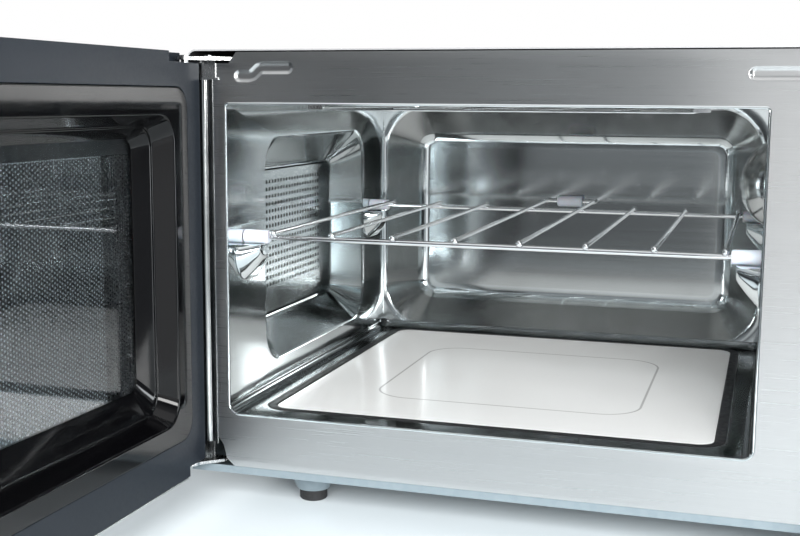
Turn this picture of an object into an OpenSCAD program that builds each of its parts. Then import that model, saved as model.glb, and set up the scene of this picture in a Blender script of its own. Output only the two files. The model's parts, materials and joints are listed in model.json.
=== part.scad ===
// Countertop combination microwave and grill oven, with a flat ceramic base, a side-hinged door and a sliding rack.
// Drawn in the oven's own frame: x from the left side of the cavity opening, y into the oven from the front
// plate's face, z up from the table. place() then moves the whole oven so that the origin lies under its middle.

/* [Cavity] */
// Width of the cavity opening
opening_w = 330; // [300:1:360]
// Height of the cavity opening
opening_h = 201; // [190:1:212]
// Depth of the cavity's side walls
cavity_d = 324; // [310:1:340]
// Height of the cavity floor above the table
floor_z = 68; // [64:0.5:74]
// Thickness of the pressed steel sheet
sheet = 1; // [0.8:0.1:1.2]
// Depth of the pressed dish in the cavity's rear wall
rear_dish_d = 29; // [22:1:34]
// Depth of the pressed recess in the cavity's left wall
side_dish_d = 22; // [16:1:24]
// Radius of the opening's bottom corners
opening_r = 6; // [4:0.5:10]

/* [Casing] */
// Width of the casing
casing_w = 513; // [508:1:530]
// How far the casing's top stands above the front plate
top_lip = 2; // [0.5:0.5:6]
// Depth from the front plate's face to the back panel
casing_d = 382; // [378:1:400]
// Distance from the casing's left side to the cavity opening
side_gap = 30; // [28:0.5:34]
// Width of the front plate above the opening
top_margin = 33; // [31:0.5:34]
// Width of the front plate below the opening
bottom_margin = 36; // [34:0.5:37]
// Height of the base pan's underside above the table
pan_z = 26.5; // [24:0.5:28]
// Outer corner radius of the wrapped casing
casing_r = 6; // [3:0.5:9]
// How far the casing's front edge lies behind the front plate's face
casing_setback = 6; // [5.5:0.5:9]

/* [Feet] */
// Radius of a rubber foot
foot_r = 9.5; // [8:0.5:11]
// Height of a rubber foot
foot_h = 8; // [6:0.5:10]
// Distance of the feet from the casing's left and right sides
foot_inset_x = 71; // [60:1:80]
// Distance of the feet from the front plate and from the back panel
foot_inset_y = 45; // [38:1:60]

/* [Base plate] */
// Width of the ceramic plate
plate_w = 287; // [270:1:292]
// Depth of the ceramic plate
plate_d = 292; // [280:1:294]
// Thickness of the ceramic plate
plate_t = 5; // [4:0.5:6]
// Width of the sealing bead round the ceramic plate
seal_w = 6.5; // [5:0.5:7]
// Distance from the front plate to the ceramic plate's front edge
plate_y = 22; // [20:1:24]

/* [Rack] */
// Number of long wires in the rack
rack_bars = 8; // [6:1:10]
// Diameter of the long wires
bar_dia = 3; // [2.6:0.1:3.4]
// Diameter of the front and rear rods
rod_dia = 3.5; // [3:0.1:4]
// Diameter of the white sleeves
sleeve_dia = 9.5; // [8:0.5:10]
// Length of the white sleeves at the corners
sleeve_len = 17; // [11:0.5:17.5]
// Height of the rack supports' tops above the cavity floor
support_h = 109; // [95:1:120]
// Depth of the rack supports from the wall
support_d = 13.5; // [12:0.5:15]
// Running gap between the rack and what it slides on
rack_gap = 0.4; // [0.3:0.1:0.8]

/* [Door] */
// How far the door reaches past the cavity opening at its free edge
latch_margin = 40; // [36:1:41]
// Thickness of the door
door_t = 33; // [31:0.5:36]
// Gap between the closed door and the front plate
door_gap = 1.5; // [1.4:0.1:2]
// Angle at which the door stands open
door_open = 91; // [85:1:95]
// Distance of the hinge pin from the door's inner face
pin_in = 7; // [6.5:0.5:8]
// Distance of the hinge pin from the door's hinge edge
pin_edge = 5.8; // [5:0.2:6.6]
// Diameter of the hinge pins
pin_dia = 5; // [4:0.2:5.4]
// Radial running clearance of the pins and shafts
run_fit = 0.05; // [0.03:0.01:0.09]
// Depth of the door's window below its inner face
window_depth = 21; // [19:0.5:22]
// Thickness of the window's inner glass
glass_t = 2; // [1.6:0.2:2.4]
// Thickness of the perforated screen
screen_t = 0.8; // [0.6:0.1:1]

/* [Handle] */
// Diameter of the handle bar
handle_dia = 14; // [12:0.5:18]
// Length of the handle bar
handle_len = 236; // [200:1:250]
// Free space between the handle bar and the door
handle_gap = 26; // [22:1:32]

/* [Controls] */
// Width of a push button
button_w = 34; // [28:1:38]
// Height of a push button
button_h = 11; // [9:0.5:13]
// Diameter of the selector knob
knob_dia = 46; // [40:1:52]

/* [Hidden] */
$fn = 48;
cut = 0.5; // how far a cutting solid runs past the face it cuts
seat = 0.3; // gap between pieces that are not in contact

x_left = -side_gap;
x_right = x_left + casing_w;
ceiling_z = floor_z + opening_h;
frame_z0 = floor_z - bottom_margin;
frame_z1 = ceiling_z + top_margin;
casing_h = frame_z1 + top_lip;
pan_top = pan_z + sheet;
panel_gap = 2;
door_x1 = opening_w + latch_margin;
door_w = door_x1 - x_left;
panel_x0 = door_x1 + panel_gap;
frame_x1 = panel_x0;

// ---- front plate ----
face_left = 9; // how far the flat face runs left of the opening
joggle_w = 4;
joggle_d = 4;
hem = 2; // width of the rolled hem round the opening
hem_out = 0.8;
bead_h = 6.6;
bead_d = 1.6;
bead_z = frame_z1 - 10;
bead_drop = 5;
slot_x = door_x1 - 10; // middle of the latch slots
slot_w = 8;
slot_h = 24;
slot_zs = [floor_z + 34, floor_z + 158];

// ---- cavity dishes ----
dish_r = 40;
dish_inner_r = 11;
side_dish = [[61, 20], [267, 179]]; // corners of the left recess, y and height above the floor
side_slope = side_dish_d * 1.09;
side_dish_r = 25;
side_panel_r = 6;
rear_rim = 2;
grille_t = 1;
grille_pitch = 5.5;
grille_hole = 3.1;
grille_cols = 22;
grille_rows = 15;
grille_first = [102, 67]; // first hole of the perforated patch, y and height above the floor
dome_y = 160;
dome_z = 150;
dome_r = 27;
dome_h = 17;
dome_half = 22;

// ---- rack supports, as [first y, last y] ----
supports = [[12, 54], [271, 318]];
support_drop = 23;

// ---- rack ----
rack_z = floor_z + support_h + rack_gap + sleeve_dia / 2; // axis of the front and rear rods
rack_y = [27, 287]; // axes of the front and rear rods
bar_over = 2.6; // how far a long wire runs past the front rod
sleeve_x = 0.8; // gap between a sleeve and the cavity wall
bumper_y = cavity_d + rear_dish_d - rack_gap - sleeve_dia / 2;

// ---- base plate ----
plate_x = (opening_w - plate_w) / 2 - 0.8;
plate_r = 11;
well_z = floor_z - plate_t - 13;
ledge_w = 9;
stirrer_r = 66;
stirrer_axis = [plate_x + plate_w / 2, plate_y + plate_d / 2];
shaft_r = 3;

// ---- grill ----
grill_box = [[38, 52], [opening_w - 38, 262]];
grill_h = 17;
tube_r = 3.3;
tube_z = ceiling_z + 7;
guard_drop = 3.6;
guard_wire = 1.3;

// ---- door, drawn closed ----
hinge_x = x_left + pin_edge;
hinge_y = -door_gap - pin_in;
door_in = -door_gap;
door_out = door_in - door_t;
door_z0 = frame_z0 - 2;
door_z1 = frame_z1 - 0.5;
skin_z0 = door_z0 - 4.5;
skin_seam = door_in - 16.5; // where the outer skin's flange meets the inner frame
choke_x = [-13, opening_w + 13];
choke_z = [floor_z - 12, ceiling_z + 11];
choke_r = 13;
ridge = 17; // width of the choke cover's flat band
ridge_bottom = 13;
step_d = 12;
step_w = 6.5;
window_x = [20, opening_w - 20];
window_z = [floor_z + 24, floor_z + 180.5];
glass_over = 7; // how far the glass and the screen reach past the window
pocket_d = 13.5;
pocket_h = 6.4;
pocket_top_l = 38;
pocket_low_l = 21;
arm_t = 2;
arm_r = 5.4;
arm_top_z = door_z1 - 4.6;
arm_low_z = door_z0 + 3;
bush_h = 12;
glass_x = [40, opening_w - 8];
glass_z = [door_z0 + 50, door_z1 - 46];
outer_glass_t = 3.4;

// ---- handle ----
handle_x = door_x1 - 20;
handle_y = door_out - handle_gap - handle_dia / 2;
handle_mid = (door_z0 + door_z1) / 2;
post_r = 6;
post_span = 188;

// ---- controls ----
panel_t = 2.5;
panel_mid = (panel_x0 + x_right) / 2;
panel_front = door_out + 2;
button_travel = 2;
button_out = 1.4;
button_rows = 3;
button_pitch = [42, 19];
button_low = door_z0 + 32;
display = [80, 34];
display_z = door_z1 - 44;
knob_z = door_z0 + 122;
knob_out = 21;

// ---- inside the right-hand compartment ----
bay_x = opening_w + sheet;
guide = [[bay_x + seat, 62, floor_z + 126], [bay_x + 20, 236, floor_z + 190]];
tube_box = [[guide[1][0], 148, floor_z + 100], [guide[1][0] + 84, 234, floor_z + 194]];
core = [[bay_x + 32, 62, pan_top], [bay_x + 118, 128, pan_top + 74]];
fan_axis = [bay_x + 82, floor_z + 116];
fan_y = casing_d - 42;
fan_r = 54;

x_min = hinge_x - (handle_gap + handle_dia + door_t - pin_in);
x_max = x_right;
y_min = hinge_y - (door_w - pin_edge);
y_max = casing_d + 9;

// Moves the oven so that the origin lies on the table under the middle of its box, door open
module place() translate([-(x_min + x_max) / 2, -(y_min + y_max) / 2, 0]) children();

// Swings what is drawn for the closed door to where the door stands
module swing() translate([hinge_x, hinge_y, 0]) rotate([0, 0, -door_open])
    translate([-hinge_x, -hinge_y, 0]) children();

// Extrudes an x-z outline from y to y + t
module upright(y, t) translate([0, y + t, 0]) rotate([90, 0, 0]) linear_extrude(t) children();

// Extrudes a y-z outline from x to x + t
module sideways(x, t) translate([x, 0, 0]) rotate([90, 0, 90]) linear_extrude(t) children();

// Rectangle from a to b with round corners
module rounded(a, b, r) {
    translate([a[0] + r, a[1]]) square([b[0] - a[0] - 2 * r, b[1] - a[1]]);
    translate([a[0], a[1] + r]) square([b[0] - a[0], b[1] - a[1] - 2 * r]);
    for (x = [a[0] + r, b[0] - r], z = [a[1] + r, b[1] - r]) translate([x, z]) circle(r);
}

// The same rectangle, grown by g on every side
module grown(a, b, r, g) rounded([a[0] - g, a[1] - g], [b[0] + g, b[1] + g], r + g);

// Box from corner a to corner b
module block(a, b) translate(a) cube(b - a);

// Solid that tapers from outline child 0 at height 0 to outline child 1 at height h
module taper(h) {
    skin_t = 0.01;
    hull() {
        linear_extrude(skin_t) children(0);
        translate([0, 0, h - skin_t]) linear_extrude(skin_t) children(1);
    }
}

// Pressed dish of sheet metal, h deep, from rim a-b to a floor drawn in by slope
module dish(a, b, r, slope, r_in, h, closed = true) {
    in_a = [a[0] + slope, a[1] + slope];
    in_b = [b[0] - slope, b[1] - slope];
    difference() {
        taper(h + (closed ? sheet : 0)) {
            grown(a, b, r, sheet, $fn = 32);
            grown(in_a, in_b, r_in, sheet * 0.5, $fn = 32);
        }
        translate([0, 0, -cut]) linear_extrude(cut + 0.02) rounded(a, b, r, $fn = 32);
        translate([0, 0, -0.001]) taper(h + 0.001 + (closed ? 0 : cut)) {
            rounded(a, b, r, $fn = 32);
            rounded(in_a, in_b, r_in, $fn = 32);
        }
    }
}

// ==== casing ====

// Outline of the wrapped casing, drawn in by g
module casing_outline(g) rounded([x_left + g, pan_z - casing_h], [x_right - g, casing_h - g], casing_r - g);

// Top and both sides, one wrapped sheet with vent slots
module outer_casing() color([0.74, 0.75, 0.76]) {
    slot = [15, 3];
    row_pitch = 7;
    difference() {
        upright(casing_setback, casing_d - casing_setback) difference() {
            intersection() {
                casing_outline(0);
                translate([x_left, pan_z]) square([casing_w, casing_h]);
            }
            casing_outline(sheet);
        }
        for (side = [x_left, x_right - sheet], column = [0 : 3], row = [0 : 6])
            translate([side - cut, casing_d - 122 + column * (slot[0] + 7), casing_h - 92 + row * row_pitch])
                cube([sheet + 2 * cut, slot[0], slot[1]]);
        for (side = [x_left, x_right - sheet], p = side_screws)
            translate([side - cut, p[0], p[1]]) rotate([0, 90, 0]) cylinder(h = sheet + 2 * cut, r = screw_hole_r);
    }
}

screw_r = 1.7;
screw_hole_r = 2;
screw_head = [3.8, 2.2]; // radius and height
screw_len = 7;
side_screws = [[60, pan_z + 9], [casing_d - 60, pan_z + 9]];
back_y = casing_d - 3 - sheet;
back_screws = [[x_left + 14, 60], [x_left + 14, casing_h - 30], [x_right - 14, 60], [x_right - 14, casing_h - 30],
    [x_left + casing_w / 2, casing_h - 12]];
inlet = [x_right - 46, floor_z - 14];
inlet_r = 8;

// Flat rear panel with the fan's inlet grille, an outlet grille and the gland hole
module back_panel() color([0.6, 0.61, 0.62]) {
    slot = [4, 20];
    upright(back_y, sheet) difference() {
        intersection() {
            casing_outline(sheet);
            translate([x_left, pan_top]) square([casing_w, casing_h]);
        }
        for (i = [-6 : 6], j = [-2 : 1]) translate([fan_axis[0] + i * 8 - slot[0] / 2, fan_axis[1] + j * 26 + 3])
            square(slot);
        for (i = [0 : 9], j = [0 : 1]) translate([x_left + 40 + i * 9, casing_h - 78 + j * 26]) square(slot);
        for (p = back_screws) translate(p) circle(screw_hole_r);
        translate(inlet) circle(inlet_r);
    }
}

feet = [for (x = [x_left + foot_inset_x, x_right - foot_inset_x], y = [foot_inset_y, casing_d - foot_inset_y]) [x, y]];
boss_r = [19.5, 11.5]; // radius of a pressed foot boss at the pan and at the foot
stud_r = 3;

// Base pan with a front lip, side lips, pressed foot bosses and vent slots
module base_pan() color([0.8, 0.82, 0.84]) {
    lip_h = 19;
    lip_y = sheet + 0.2;
    inner = [x_left + sheet, x_right - sheet];
    slot = [26, 4];
    difference() {
        union() {
            block([inner[0], lip_y, pan_z], [inner[1], casing_d, pan_top]);
            block([inner[0], lip_y, pan_top], [inner[1], lip_y + sheet, pan_z + lip_h]);
            difference() {
                for (x = [inner[0], inner[1] - sheet])
                    block([x, lip_y + sheet, pan_top], [x + sheet, back_y - seat, pan_z + lip_h]);
                for (x = [inner[0], inner[1] - sheet], p = side_screws)
                    translate([x - cut, p[0], p[1]]) rotate([0, 90, 0])
                        cylinder(h = sheet + 2 * cut, r = screw_hole_r);
            }
        }
        for (p = feet) translate([p[0], p[1], pan_z - cut]) cylinder(h = sheet + 2 * cut, r = boss_r[0] - sheet);
        for (i = [0 : 3], j = [0 : 4]) translate([bay_x + 24 + i * 32, 170 + j * 12, pan_z - cut])
            cube([slot[0], slot[1], sheet + 2 * cut]);
        block([x_left, 0, arm_low_z - 1.5], [3, lip_y + sheet + 0.1, pan_z + lip_h + cut]);
    }
    for (p = feet) translate([p[0], p[1], foot_h]) rotate_extrude() polygon([
        [stud_r + 0.2, 0], [boss_r[1], 0], [boss_r[0], pan_z - foot_h], [boss_r[0], pan_top - foot_h],
        [boss_r[0] - sheet, pan_top - foot_h], [boss_r[0] - sheet, pan_z - foot_h],
        [boss_r[1] - sheet, sheet], [stud_r + 0.2, sheet]]);
}

// Four rubber feet, each held by a stud in its boss
module rubber_feet() color([0.07, 0.07, 0.075])
    for (p = feet) translate([p[0], p[1], 0]) rotate_extrude() polygon([
        [0, 0], [foot_r - 1, 0], [foot_r, 1], [foot_r, foot_h], [stud_r, foot_h], [stud_r, foot_h + 4], [0, foot_h + 4]]);

// Pressed groove in the front plate: an outline that steps up towards the right
module groove_left(g) {
    start = [9.5, bead_z - bead_drop];
    bend = [17, 24];
    end_x = 42;
    r = bead_h / 2 + g;
    for (p = [[start, [bend[0], start[1]]], [[bend[1], bead_z], [end_x, bead_z]]]) {
        for (q = p) translate(q) circle(r);
        translate([p[0][0], p[0][1] - r]) square([p[1][0] - p[0][0], 2 * r]);
    }
    polygon([[bend[0], start[1] - r], [bend[1], bead_z - r], [bend[1], bead_z + r], [bend[0], start[1] + r]]);
}

module groove_right(g) {
    r = bead_h / 2 + g;
    ends = [opening_w - 7.5, frame_x1 - 12];
    for (x = ends) translate([x, bead_z - 3.5]) circle(r);
    translate([ends[0], bead_z - 3.5 - r]) square([ends[1] - ends[0], 2 * r]);
}

// The corners cut out of the front plate for the hinge arms
module hinge_notches(y0, y1) upright(y0, y1 - y0) {
    polygon([[7.4, frame_z1 + cut], [2, frame_z1 - 7], [x_left - cut, frame_z1 - 7], [x_left - cut, frame_z1 + cut]]);
    polygon([[2.5, frame_z0 - cut], [-3, frame_z0 + 5], [-5, frame_z0 + 14], [x_left - cut, frame_z0 + 14],
        [x_left - cut, frame_z0 - cut]]);
}

// Stainless front plate: stepped back beside the hinges, hemmed round the opening, with pressed grooves
module front_frame() color([0.75, 0.74, 0.72]) {
    x1 = x_right - sheet;
    flange = 12;
    strip = [x_left + sheet, -face_left - joggle_w];
    window_a = [panel_x0 + 14, frame_z0 + 30];
    window_b = [x1 - 14, frame_z1 - 30];
    opening_a = [0, floor_z];
    opening_b = [opening_w, ceiling_z];
    difference() {
        union() {
            upright(0, sheet) difference() {
                translate([-face_left, frame_z0]) square([x1 + face_left, frame_z1 - frame_z0]);
                rounded(opening_a, opening_b, opening_r);
                rounded(window_a, window_b, 4);
                for (z = slot_zs) translate([slot_x - slot_w / 2, z]) square([slot_w, slot_h]);
            }
            upright(-hem_out, hem_out) difference() {
                grown(opening_a, opening_b, opening_r, hem);
                rounded(opening_a, opening_b, opening_r);
            }
            upright(sheet, bead_d) {
                groove_left(sheet);
                groove_right(sheet);
            }
            translate([0, 0, frame_z0]) linear_extrude(frame_z1 - frame_z0) {
                translate([strip[0], joggle_d]) square([strip[1] - strip[0], sheet]);
                translate([strip[0], joggle_d + sheet]) square([sheet, flange]);
                polygon([[-face_left, 0], [-face_left, sheet], [strip[1] + 0.4, joggle_d + sheet],
                    [strip[1], joggle_d + sheet], [strip[1], joggle_d], [-face_left - 0.6, 0]]);
                translate([x_left + 13, joggle_d]) intersection() {
                    circle(1.5);
                    translate([-2, -2]) square([4, 2 + sheet]);
                }
            }
            block([-face_left, sheet, frame_z1 - sheet], [x1 - casing_r, sheet + flange, frame_z1]);
            block([x1 - sheet, sheet, frame_z0 + 16], [x1, sheet + flange, frame_z1 - casing_r]);
        }
        hinge_notches(-cut, joggle_d + sheet + flange + cut);
        upright(-cut, cut + bead_d) {
            groove_left(0);
            groove_right(0);
        }
    }
}

// ==== cavity ====

wall_y = [sheet, cavity_d];
wall_z = [floor_z - sheet, ceiling_z];

// Turns what is drawn as (y, height, depth) so that its depth runs outwards through the left wall
module through_left() mirror([1, 0, 0]) rotate([90, 0, 90]) children();

// One hollow pressed rack support, its depth along +z
module support(y0, y1) {
    top = floor_z + support_h;
    difference() {
        support_body(y0, y1, top, support_d);
        translate([0, 0, -sheet]) support_body(y0 + 1.5 * sheet, y1 - 1.5 * sheet, top - sheet, support_d);
    }
}

module support_body(y0, y1, top, depth) hull() {
    linear_extrude(0.01) polygon([[y0, top], [y1, top], [y1, top - 9], [y1 - 8, top - support_drop],
        [y0 + 9, top - support_drop], [y0, top - 11]]);
    translate([0, 0, depth - 0.01]) linear_extrude(0.01) polygon([[y0 + 8, top], [y1 - 8, top],
        [y1 - 10, top - 7], [y0 + 12, top - 7]]);
}

// Left wall with its pressed recess, open where the perforated sheet closes it, and two rack supports
module cavity_left_wall() color([0.7, 0.7, 0.7]) {
    a = [side_dish[0][0], floor_z + side_dish[0][1]];
    b = [side_dish[1][0], floor_z + side_dish[1][1]];
    sideways(-sheet, sheet) difference() {
        translate([wall_y[0], wall_z[0]]) square([wall_y[1] - wall_y[0], wall_z[1] - wall_z[0]]);
        rounded(a, b, side_dish_r);
    }
    through_left() dish(a, b, side_dish_r, side_slope, side_panel_r, side_dish_d, closed = false);
    for (s = supports) rotate([90, 0, 90]) support(s[0], s[1]);
}

// Perforated sheet that closes the left recess, over the lamp and the air duct
module vent_grille() color([0.7, 0.7, 0.7]) {
    over = 2;
    a = [side_dish[0][0] + side_slope - over, floor_z + side_dish[0][1] + side_slope - over];
    b = [side_dish[1][0] - side_slope + over, floor_z + side_dish[1][1] - side_slope + over];
    sideways(-side_dish_d - grille_t, grille_t) difference() {
        rounded(a, b, side_panel_r);
        for (i = [0 : grille_cols - 1], j = [0 : grille_rows - 1])
            translate([grille_first[0] + i * grille_pitch, floor_z + grille_first[1] + j * grille_pitch])
                circle(grille_hole / 2, $fn = 16);
    }
}

// Oval dome pressed into the cavity, its height along +z
module dome(r, h) {
    ball = (r * r + h * h) / (2 * h);
    hull() for (y = [dome_y - dome_half, dome_y + dome_half]) translate([y, floor_z + dome_z, 0]) intersection() {
        translate([0, 0, h - ball]) sphere(ball, $fn = 40);
        translate([-r, -r, 0]) cube([2 * r, 2 * r, h]);
    }
}

// Right wall with the domed microwave inlet cover and two rack supports
module cavity_right_wall() color([0.7, 0.7, 0.7]) {
    sideways(opening_w, sheet) difference() {
        translate([wall_y[0], wall_z[0]]) square([wall_y[1] - wall_y[0], wall_z[1] - wall_z[0]]);
        translate([dome_y, floor_z + dome_z]) square([2 * dome_half, dome_r], center = true);
    }
    translate([opening_w, 0, 0]) through_left() {
        difference() {
            dome(dome_r, dome_h);
            translate([0, 0, -sheet]) dome(dome_r - sheet, dome_h);
        }
        for (s = supports) support(s[0], s[1]);
    }
}

// Rear wall with its deep pressed dish
module cavity_back_wall() color([0.62, 0.61, 0.59]) {
    a = [rear_rim, floor_z + 0.5];
    b = [opening_w - rear_rim, ceiling_z - 1];
    upright(cavity_d, sheet) difference() {
        translate([-sheet, wall_z[0]]) square([opening_w + 2 * sheet, wall_z[1] + sheet - wall_z[0]]);
        rounded(a, b, dish_r);
    }
    translate([0, cavity_d, 0]) mirror([0, 1, 0]) rotate([90, 0, 0])
        dish(a, b, dish_r, rear_dish_d, dish_inner_r, rear_dish_d);
}

// Ceiling with the raised box that holds the grill element
module cavity_ceiling() color([0.7, 0.7, 0.7]) {
    r = 20;
    translate([0, 0, ceiling_z]) {
        linear_extrude(sheet) difference() {
            translate([-sheet, wall_y[0]]) square([opening_w + 2 * sheet, wall_y[1] - wall_y[0]]);
            rounded(grill_box[0], grill_box[1], r);
        }
        dish(grill_box[0], grill_box[1], r, 12, 12, grill_h);
    }
}

// Outline of the ceramic plate, grown by g
module plate_outline(g) grown([plate_x, plate_y], [plate_x + plate_w, plate_y + plate_d], plate_r, g);

// Outlines of the floor's aperture and of the well under it, grown by g
module aperture(g) plate_outline(seal_w + g);
module well(g) plate_outline(seal_w - ledge_w - sheet + g);

// Floor with the aperture for the ceramic plate, its ledge, and the well under it
module cavity_floor() color([0.7, 0.7, 0.7]) {
    ledge_z = floor_z - plate_t;
    translate([0, 0, floor_z - sheet]) linear_extrude(sheet) difference() {
        translate([0, wall_y[0]]) square([opening_w, wall_y[1] - wall_y[0]]);
        aperture(0);
    }
    translate([0, 0, ledge_z - sheet]) linear_extrude(plate_t) difference() {
        aperture(sheet);
        aperture(0);
    }
    translate([0, 0, ledge_z - sheet]) linear_extrude(sheet) difference() {
        aperture(sheet);
        well(0);
    }
    translate([0, 0, well_z - sheet]) linear_extrude(ledge_z - well_z) difference() {
        well(sheet);
        well(0);
    }
    translate([0, 0, well_z - sheet]) linear_extrude(sheet) difference() {
        well(sheet);
        translate(stirrer_axis) circle(shaft_r + 1);
    }
}

// Flat glass-ceramic base plate
module ceramic_plate() color([0.86, 0.86, 0.84]) translate([0, 0, floor_z - plate_t])
    linear_extrude(plate_t) plate_outline(0);

// Sealing bead between the ceramic plate and the floor
module plate_seal() color([0.03, 0.03, 0.035]) translate([0, 0, floor_z - plate_t])
    linear_extrude(plate_t + 0.3) difference() {
        aperture(0);
        plate_outline(0);
    }

// Wire guard that hangs under the grill element
module grill_guard() color([0.82, 0.82, 0.83]) {
    edge = 6;
    x = [grill_box[0][0] + edge, grill_box[1][0] - edge];
    y = [grill_box[0][1] + edge, grill_box[1][1] - edge];
    r = guard_wire / 2;
    long_n = 11;
    cross_n = 6;
    low = ceiling_z - guard_drop + r;
    for (i = [0 : long_n - 1]) translate([x[0], y[0] + i * (y[1] - y[0]) / (long_n - 1), low])
        rotate([0, 90, 0]) cylinder(h = x[1] - x[0], r = r, $fn = 16);
    for (i = [0 : cross_n - 1]) translate([x[0] + i * (x[1] - x[0]) / (cross_n - 1), y[0], low + 1.6 * r])
        rotate([-90, 0, 0]) cylinder(h = y[1] - y[0], r = r, $fn = 16);
    for (cx = [grill_box[0][0] - 4, grill_box[1][0] - 6], cy = [y[0], y[1]])
        block([cx, cy - 3, low + 0.1], [cx + 10, cy + 3, ceiling_z]);
}

grill_legs = [grill_box[0][1] + 46, grill_box[1][1] - 46];
grill_ends = [grill_box[0][0] + 34, grill_box[1][0] - 34];

// Bent tube of the grill element
module grill_heater() color([0.35, 0.34, 0.33]) translate([0, 0, tube_z]) {
    bend = 22;
    for (y = grill_legs) translate([grill_ends[0] + bend, y, 0]) rotate([0, 90, 0])
        cylinder(h = grill_ends[1] - grill_ends[0] - bend, r = tube_r);
    translate([grill_ends[0], grill_legs[0] + bend, 0]) rotate([-90, 0, 0])
        cylinder(h = grill_legs[1] - grill_legs[0] - 2 * bend, r = tube_r);
    for (k = [0, 1]) translate([grill_ends[0] + bend, k == 0 ? grill_legs[0] + bend : grill_legs[1] - bend, 0])
        rotate([0, 0, k == 0 ? 180 : 90]) rotate_extrude(angle = 90) translate([bend, 0]) circle(tube_r);
}

// Ceramic holders at the element's ends and a strap at its bend
module heater_holders() color([0.9, 0.88, 0.83]) {
    depth = 9;
    half = 8;
    top = ceiling_z + grill_h;
    for (y = grill_legs) difference() {
        block([grill_ends[1] - depth, y - half, tube_z - tube_r - 2], [grill_ends[1] + 3, y + half, top]);
        translate([grill_ends[1] - depth - cut, y, tube_z]) rotate([0, 90, 0])
            cylinder(h = depth + cut, r = tube_r + run_fit);
    }
    y_mid = (grill_legs[0] + grill_legs[1]) / 2;
    difference() {
        block([grill_ends[0] - 6, y_mid - 5, tube_z - tube_r - 2], [grill_ends[0] + 6, y_mid + 5, top]);
        translate([grill_ends[0], y_mid - 5 - cut, tube_z]) rotate([-90, 0, 0])
            cylinder(h = 10 + 2 * cut, r = tube_r + run_fit);
    }
}

// ==== right-hand compartment ====

// Cavity lamp in its holder, on the outside of the right wall
module cavity_lamp() color([0.95, 0.93, 0.85]) {
    at = [bay_x, 268, floor_z + 158];
    bulb_r = 9;
    translate(at) rotate([0, 90, 0]) {
        translate([0, 0, 4 + 16]) cylinder(h = 14, r = 7);
        translate([0, 0, 4 + bulb_r]) sphere(bulb_r);
    }
    difference() {
        block([at[0], at[1] - 20, at[2] - 16], [at[0] + 38, at[1] + 20, at[2] + 16]);
        block([at[0] + sheet, at[1] - 20 + sheet, at[2] - 16 - cut], [at[0] + 34, at[1] + 20 - sheet, at[2] + 16 + cut]);
    }
}

// Sheet-metal waveguide between the magnetron and the dome in the right wall
module waveguide() color([0.7, 0.71, 0.72]) {
    tail = 46; // length of the slope at its front end
    upright_z = guide[1][2] - guide[0][2];
    translate([0, 0, guide[0][2]]) linear_extrude(upright_z) polygon([[guide[0][0], guide[0][1]],
        [guide[0][0], guide[1][1]], [guide[1][0], guide[1][1]], [guide[1][0], guide[0][1] + tail],
        [guide[0][0] + 4, guide[0][1]]]);
    for (y = [guide[0][1] - 10, guide[1][1]]) difference() {
        block([guide[0][0], y, guide[0][2]], [guide[0][0] + sheet, y + 10, guide[1][2]]);
        for (z = [guide[0][2] + 12, guide[1][2] - 12]) translate([guide[0][0] - cut, y + 5, z])
            rotate([0, 90, 0]) cylinder(h = sheet + 2 * cut, r = screw_hole_r);
    }
}

// Magnetron: yoke, cooling fins, magnets and the filter box
module magnetron() color([0.75, 0.74, 0.7]) {
    a = tube_box[0];
    b = tube_box[1];
    mid = [(a[0] + b[0]) / 2, (a[1] + b[1]) / 2, (a[2] + b[2]) / 2];
    yoke = 2;
    fins = 9;
    fin_z = [mid[2] - 22, mid[2] + 22];
    difference() {
        block([a[0], a[1], a[2] + 24], [a[0] + 78, b[1], b[2]]);
        block([a[0] + yoke, a[1] - cut, a[2] + 24 + yoke], [a[0] + 78 - yoke, b[1] + cut, b[2] - yoke]);
    }
    translate([a[0] + 39, mid[1], a[2] + 26]) cylinder(h = b[2] - a[2] - 28, r = 19);
    for (z = [a[2] + 26, b[2] - yoke - 13]) translate([a[0] + 39, mid[1], z]) cylinder(h = 13, r = 27);
    for (i = [0 : fins - 1]) translate([a[0] + yoke, a[1] + 8, fin_z[0] + i * (fin_z[1] - fin_z[0]) / (fins - 1)])
        cube([78 - 2 * yoke, b[1] - a[1] - 16, 0.8]);
    block([a[0] + 8, a[1] + 14, a[2]], [a[0] + 70, b[1] - 14, a[2] + 24]);
}

// High-voltage transformer: laminated core, two windings and a foot plate
module transformer() color([0.45, 0.36, 0.27]) {
    a = core[0];
    b = core[1];
    foot_t = 2;
    limb = 15;
    coil_out = 12;
    mid_z = (a[2] + foot_t + b[2]) / 2;
    block([a[0] - 6, a[1] - 8, a[2]], [b[0] + 6, b[1] + 8, a[2] + foot_t]);
    difference() {
        block([a[0], a[1], a[2] + foot_t], b);
        for (z = [[a[2] + foot_t + limb, mid_z - limb], [mid_z + limb, b[2] - limb]])
            if (z[1] > z[0]) block([a[0] + limb, a[1] - cut, z[0]], [b[0] - limb, b[1] + cut, z[1]]);
    }
    for (x = [[a[0] + limb + 2, a[0] + 42], [a[0] + 46, b[0] - limb - 2]]) difference() {
        translate([0, b[1] + coil_out, 0]) rotate([90, 0, 0]) linear_extrude(b[1] - a[1] + 2 * coil_out)
            rounded([x[0], a[2] + foot_t + limb + 1], [x[1], b[2] - limb - 1], 5);
        block([x[0] - cut, a[1], mid_z - limb], [x[1] + cut, b[1], mid_z + limb]);
    }
}

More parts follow.
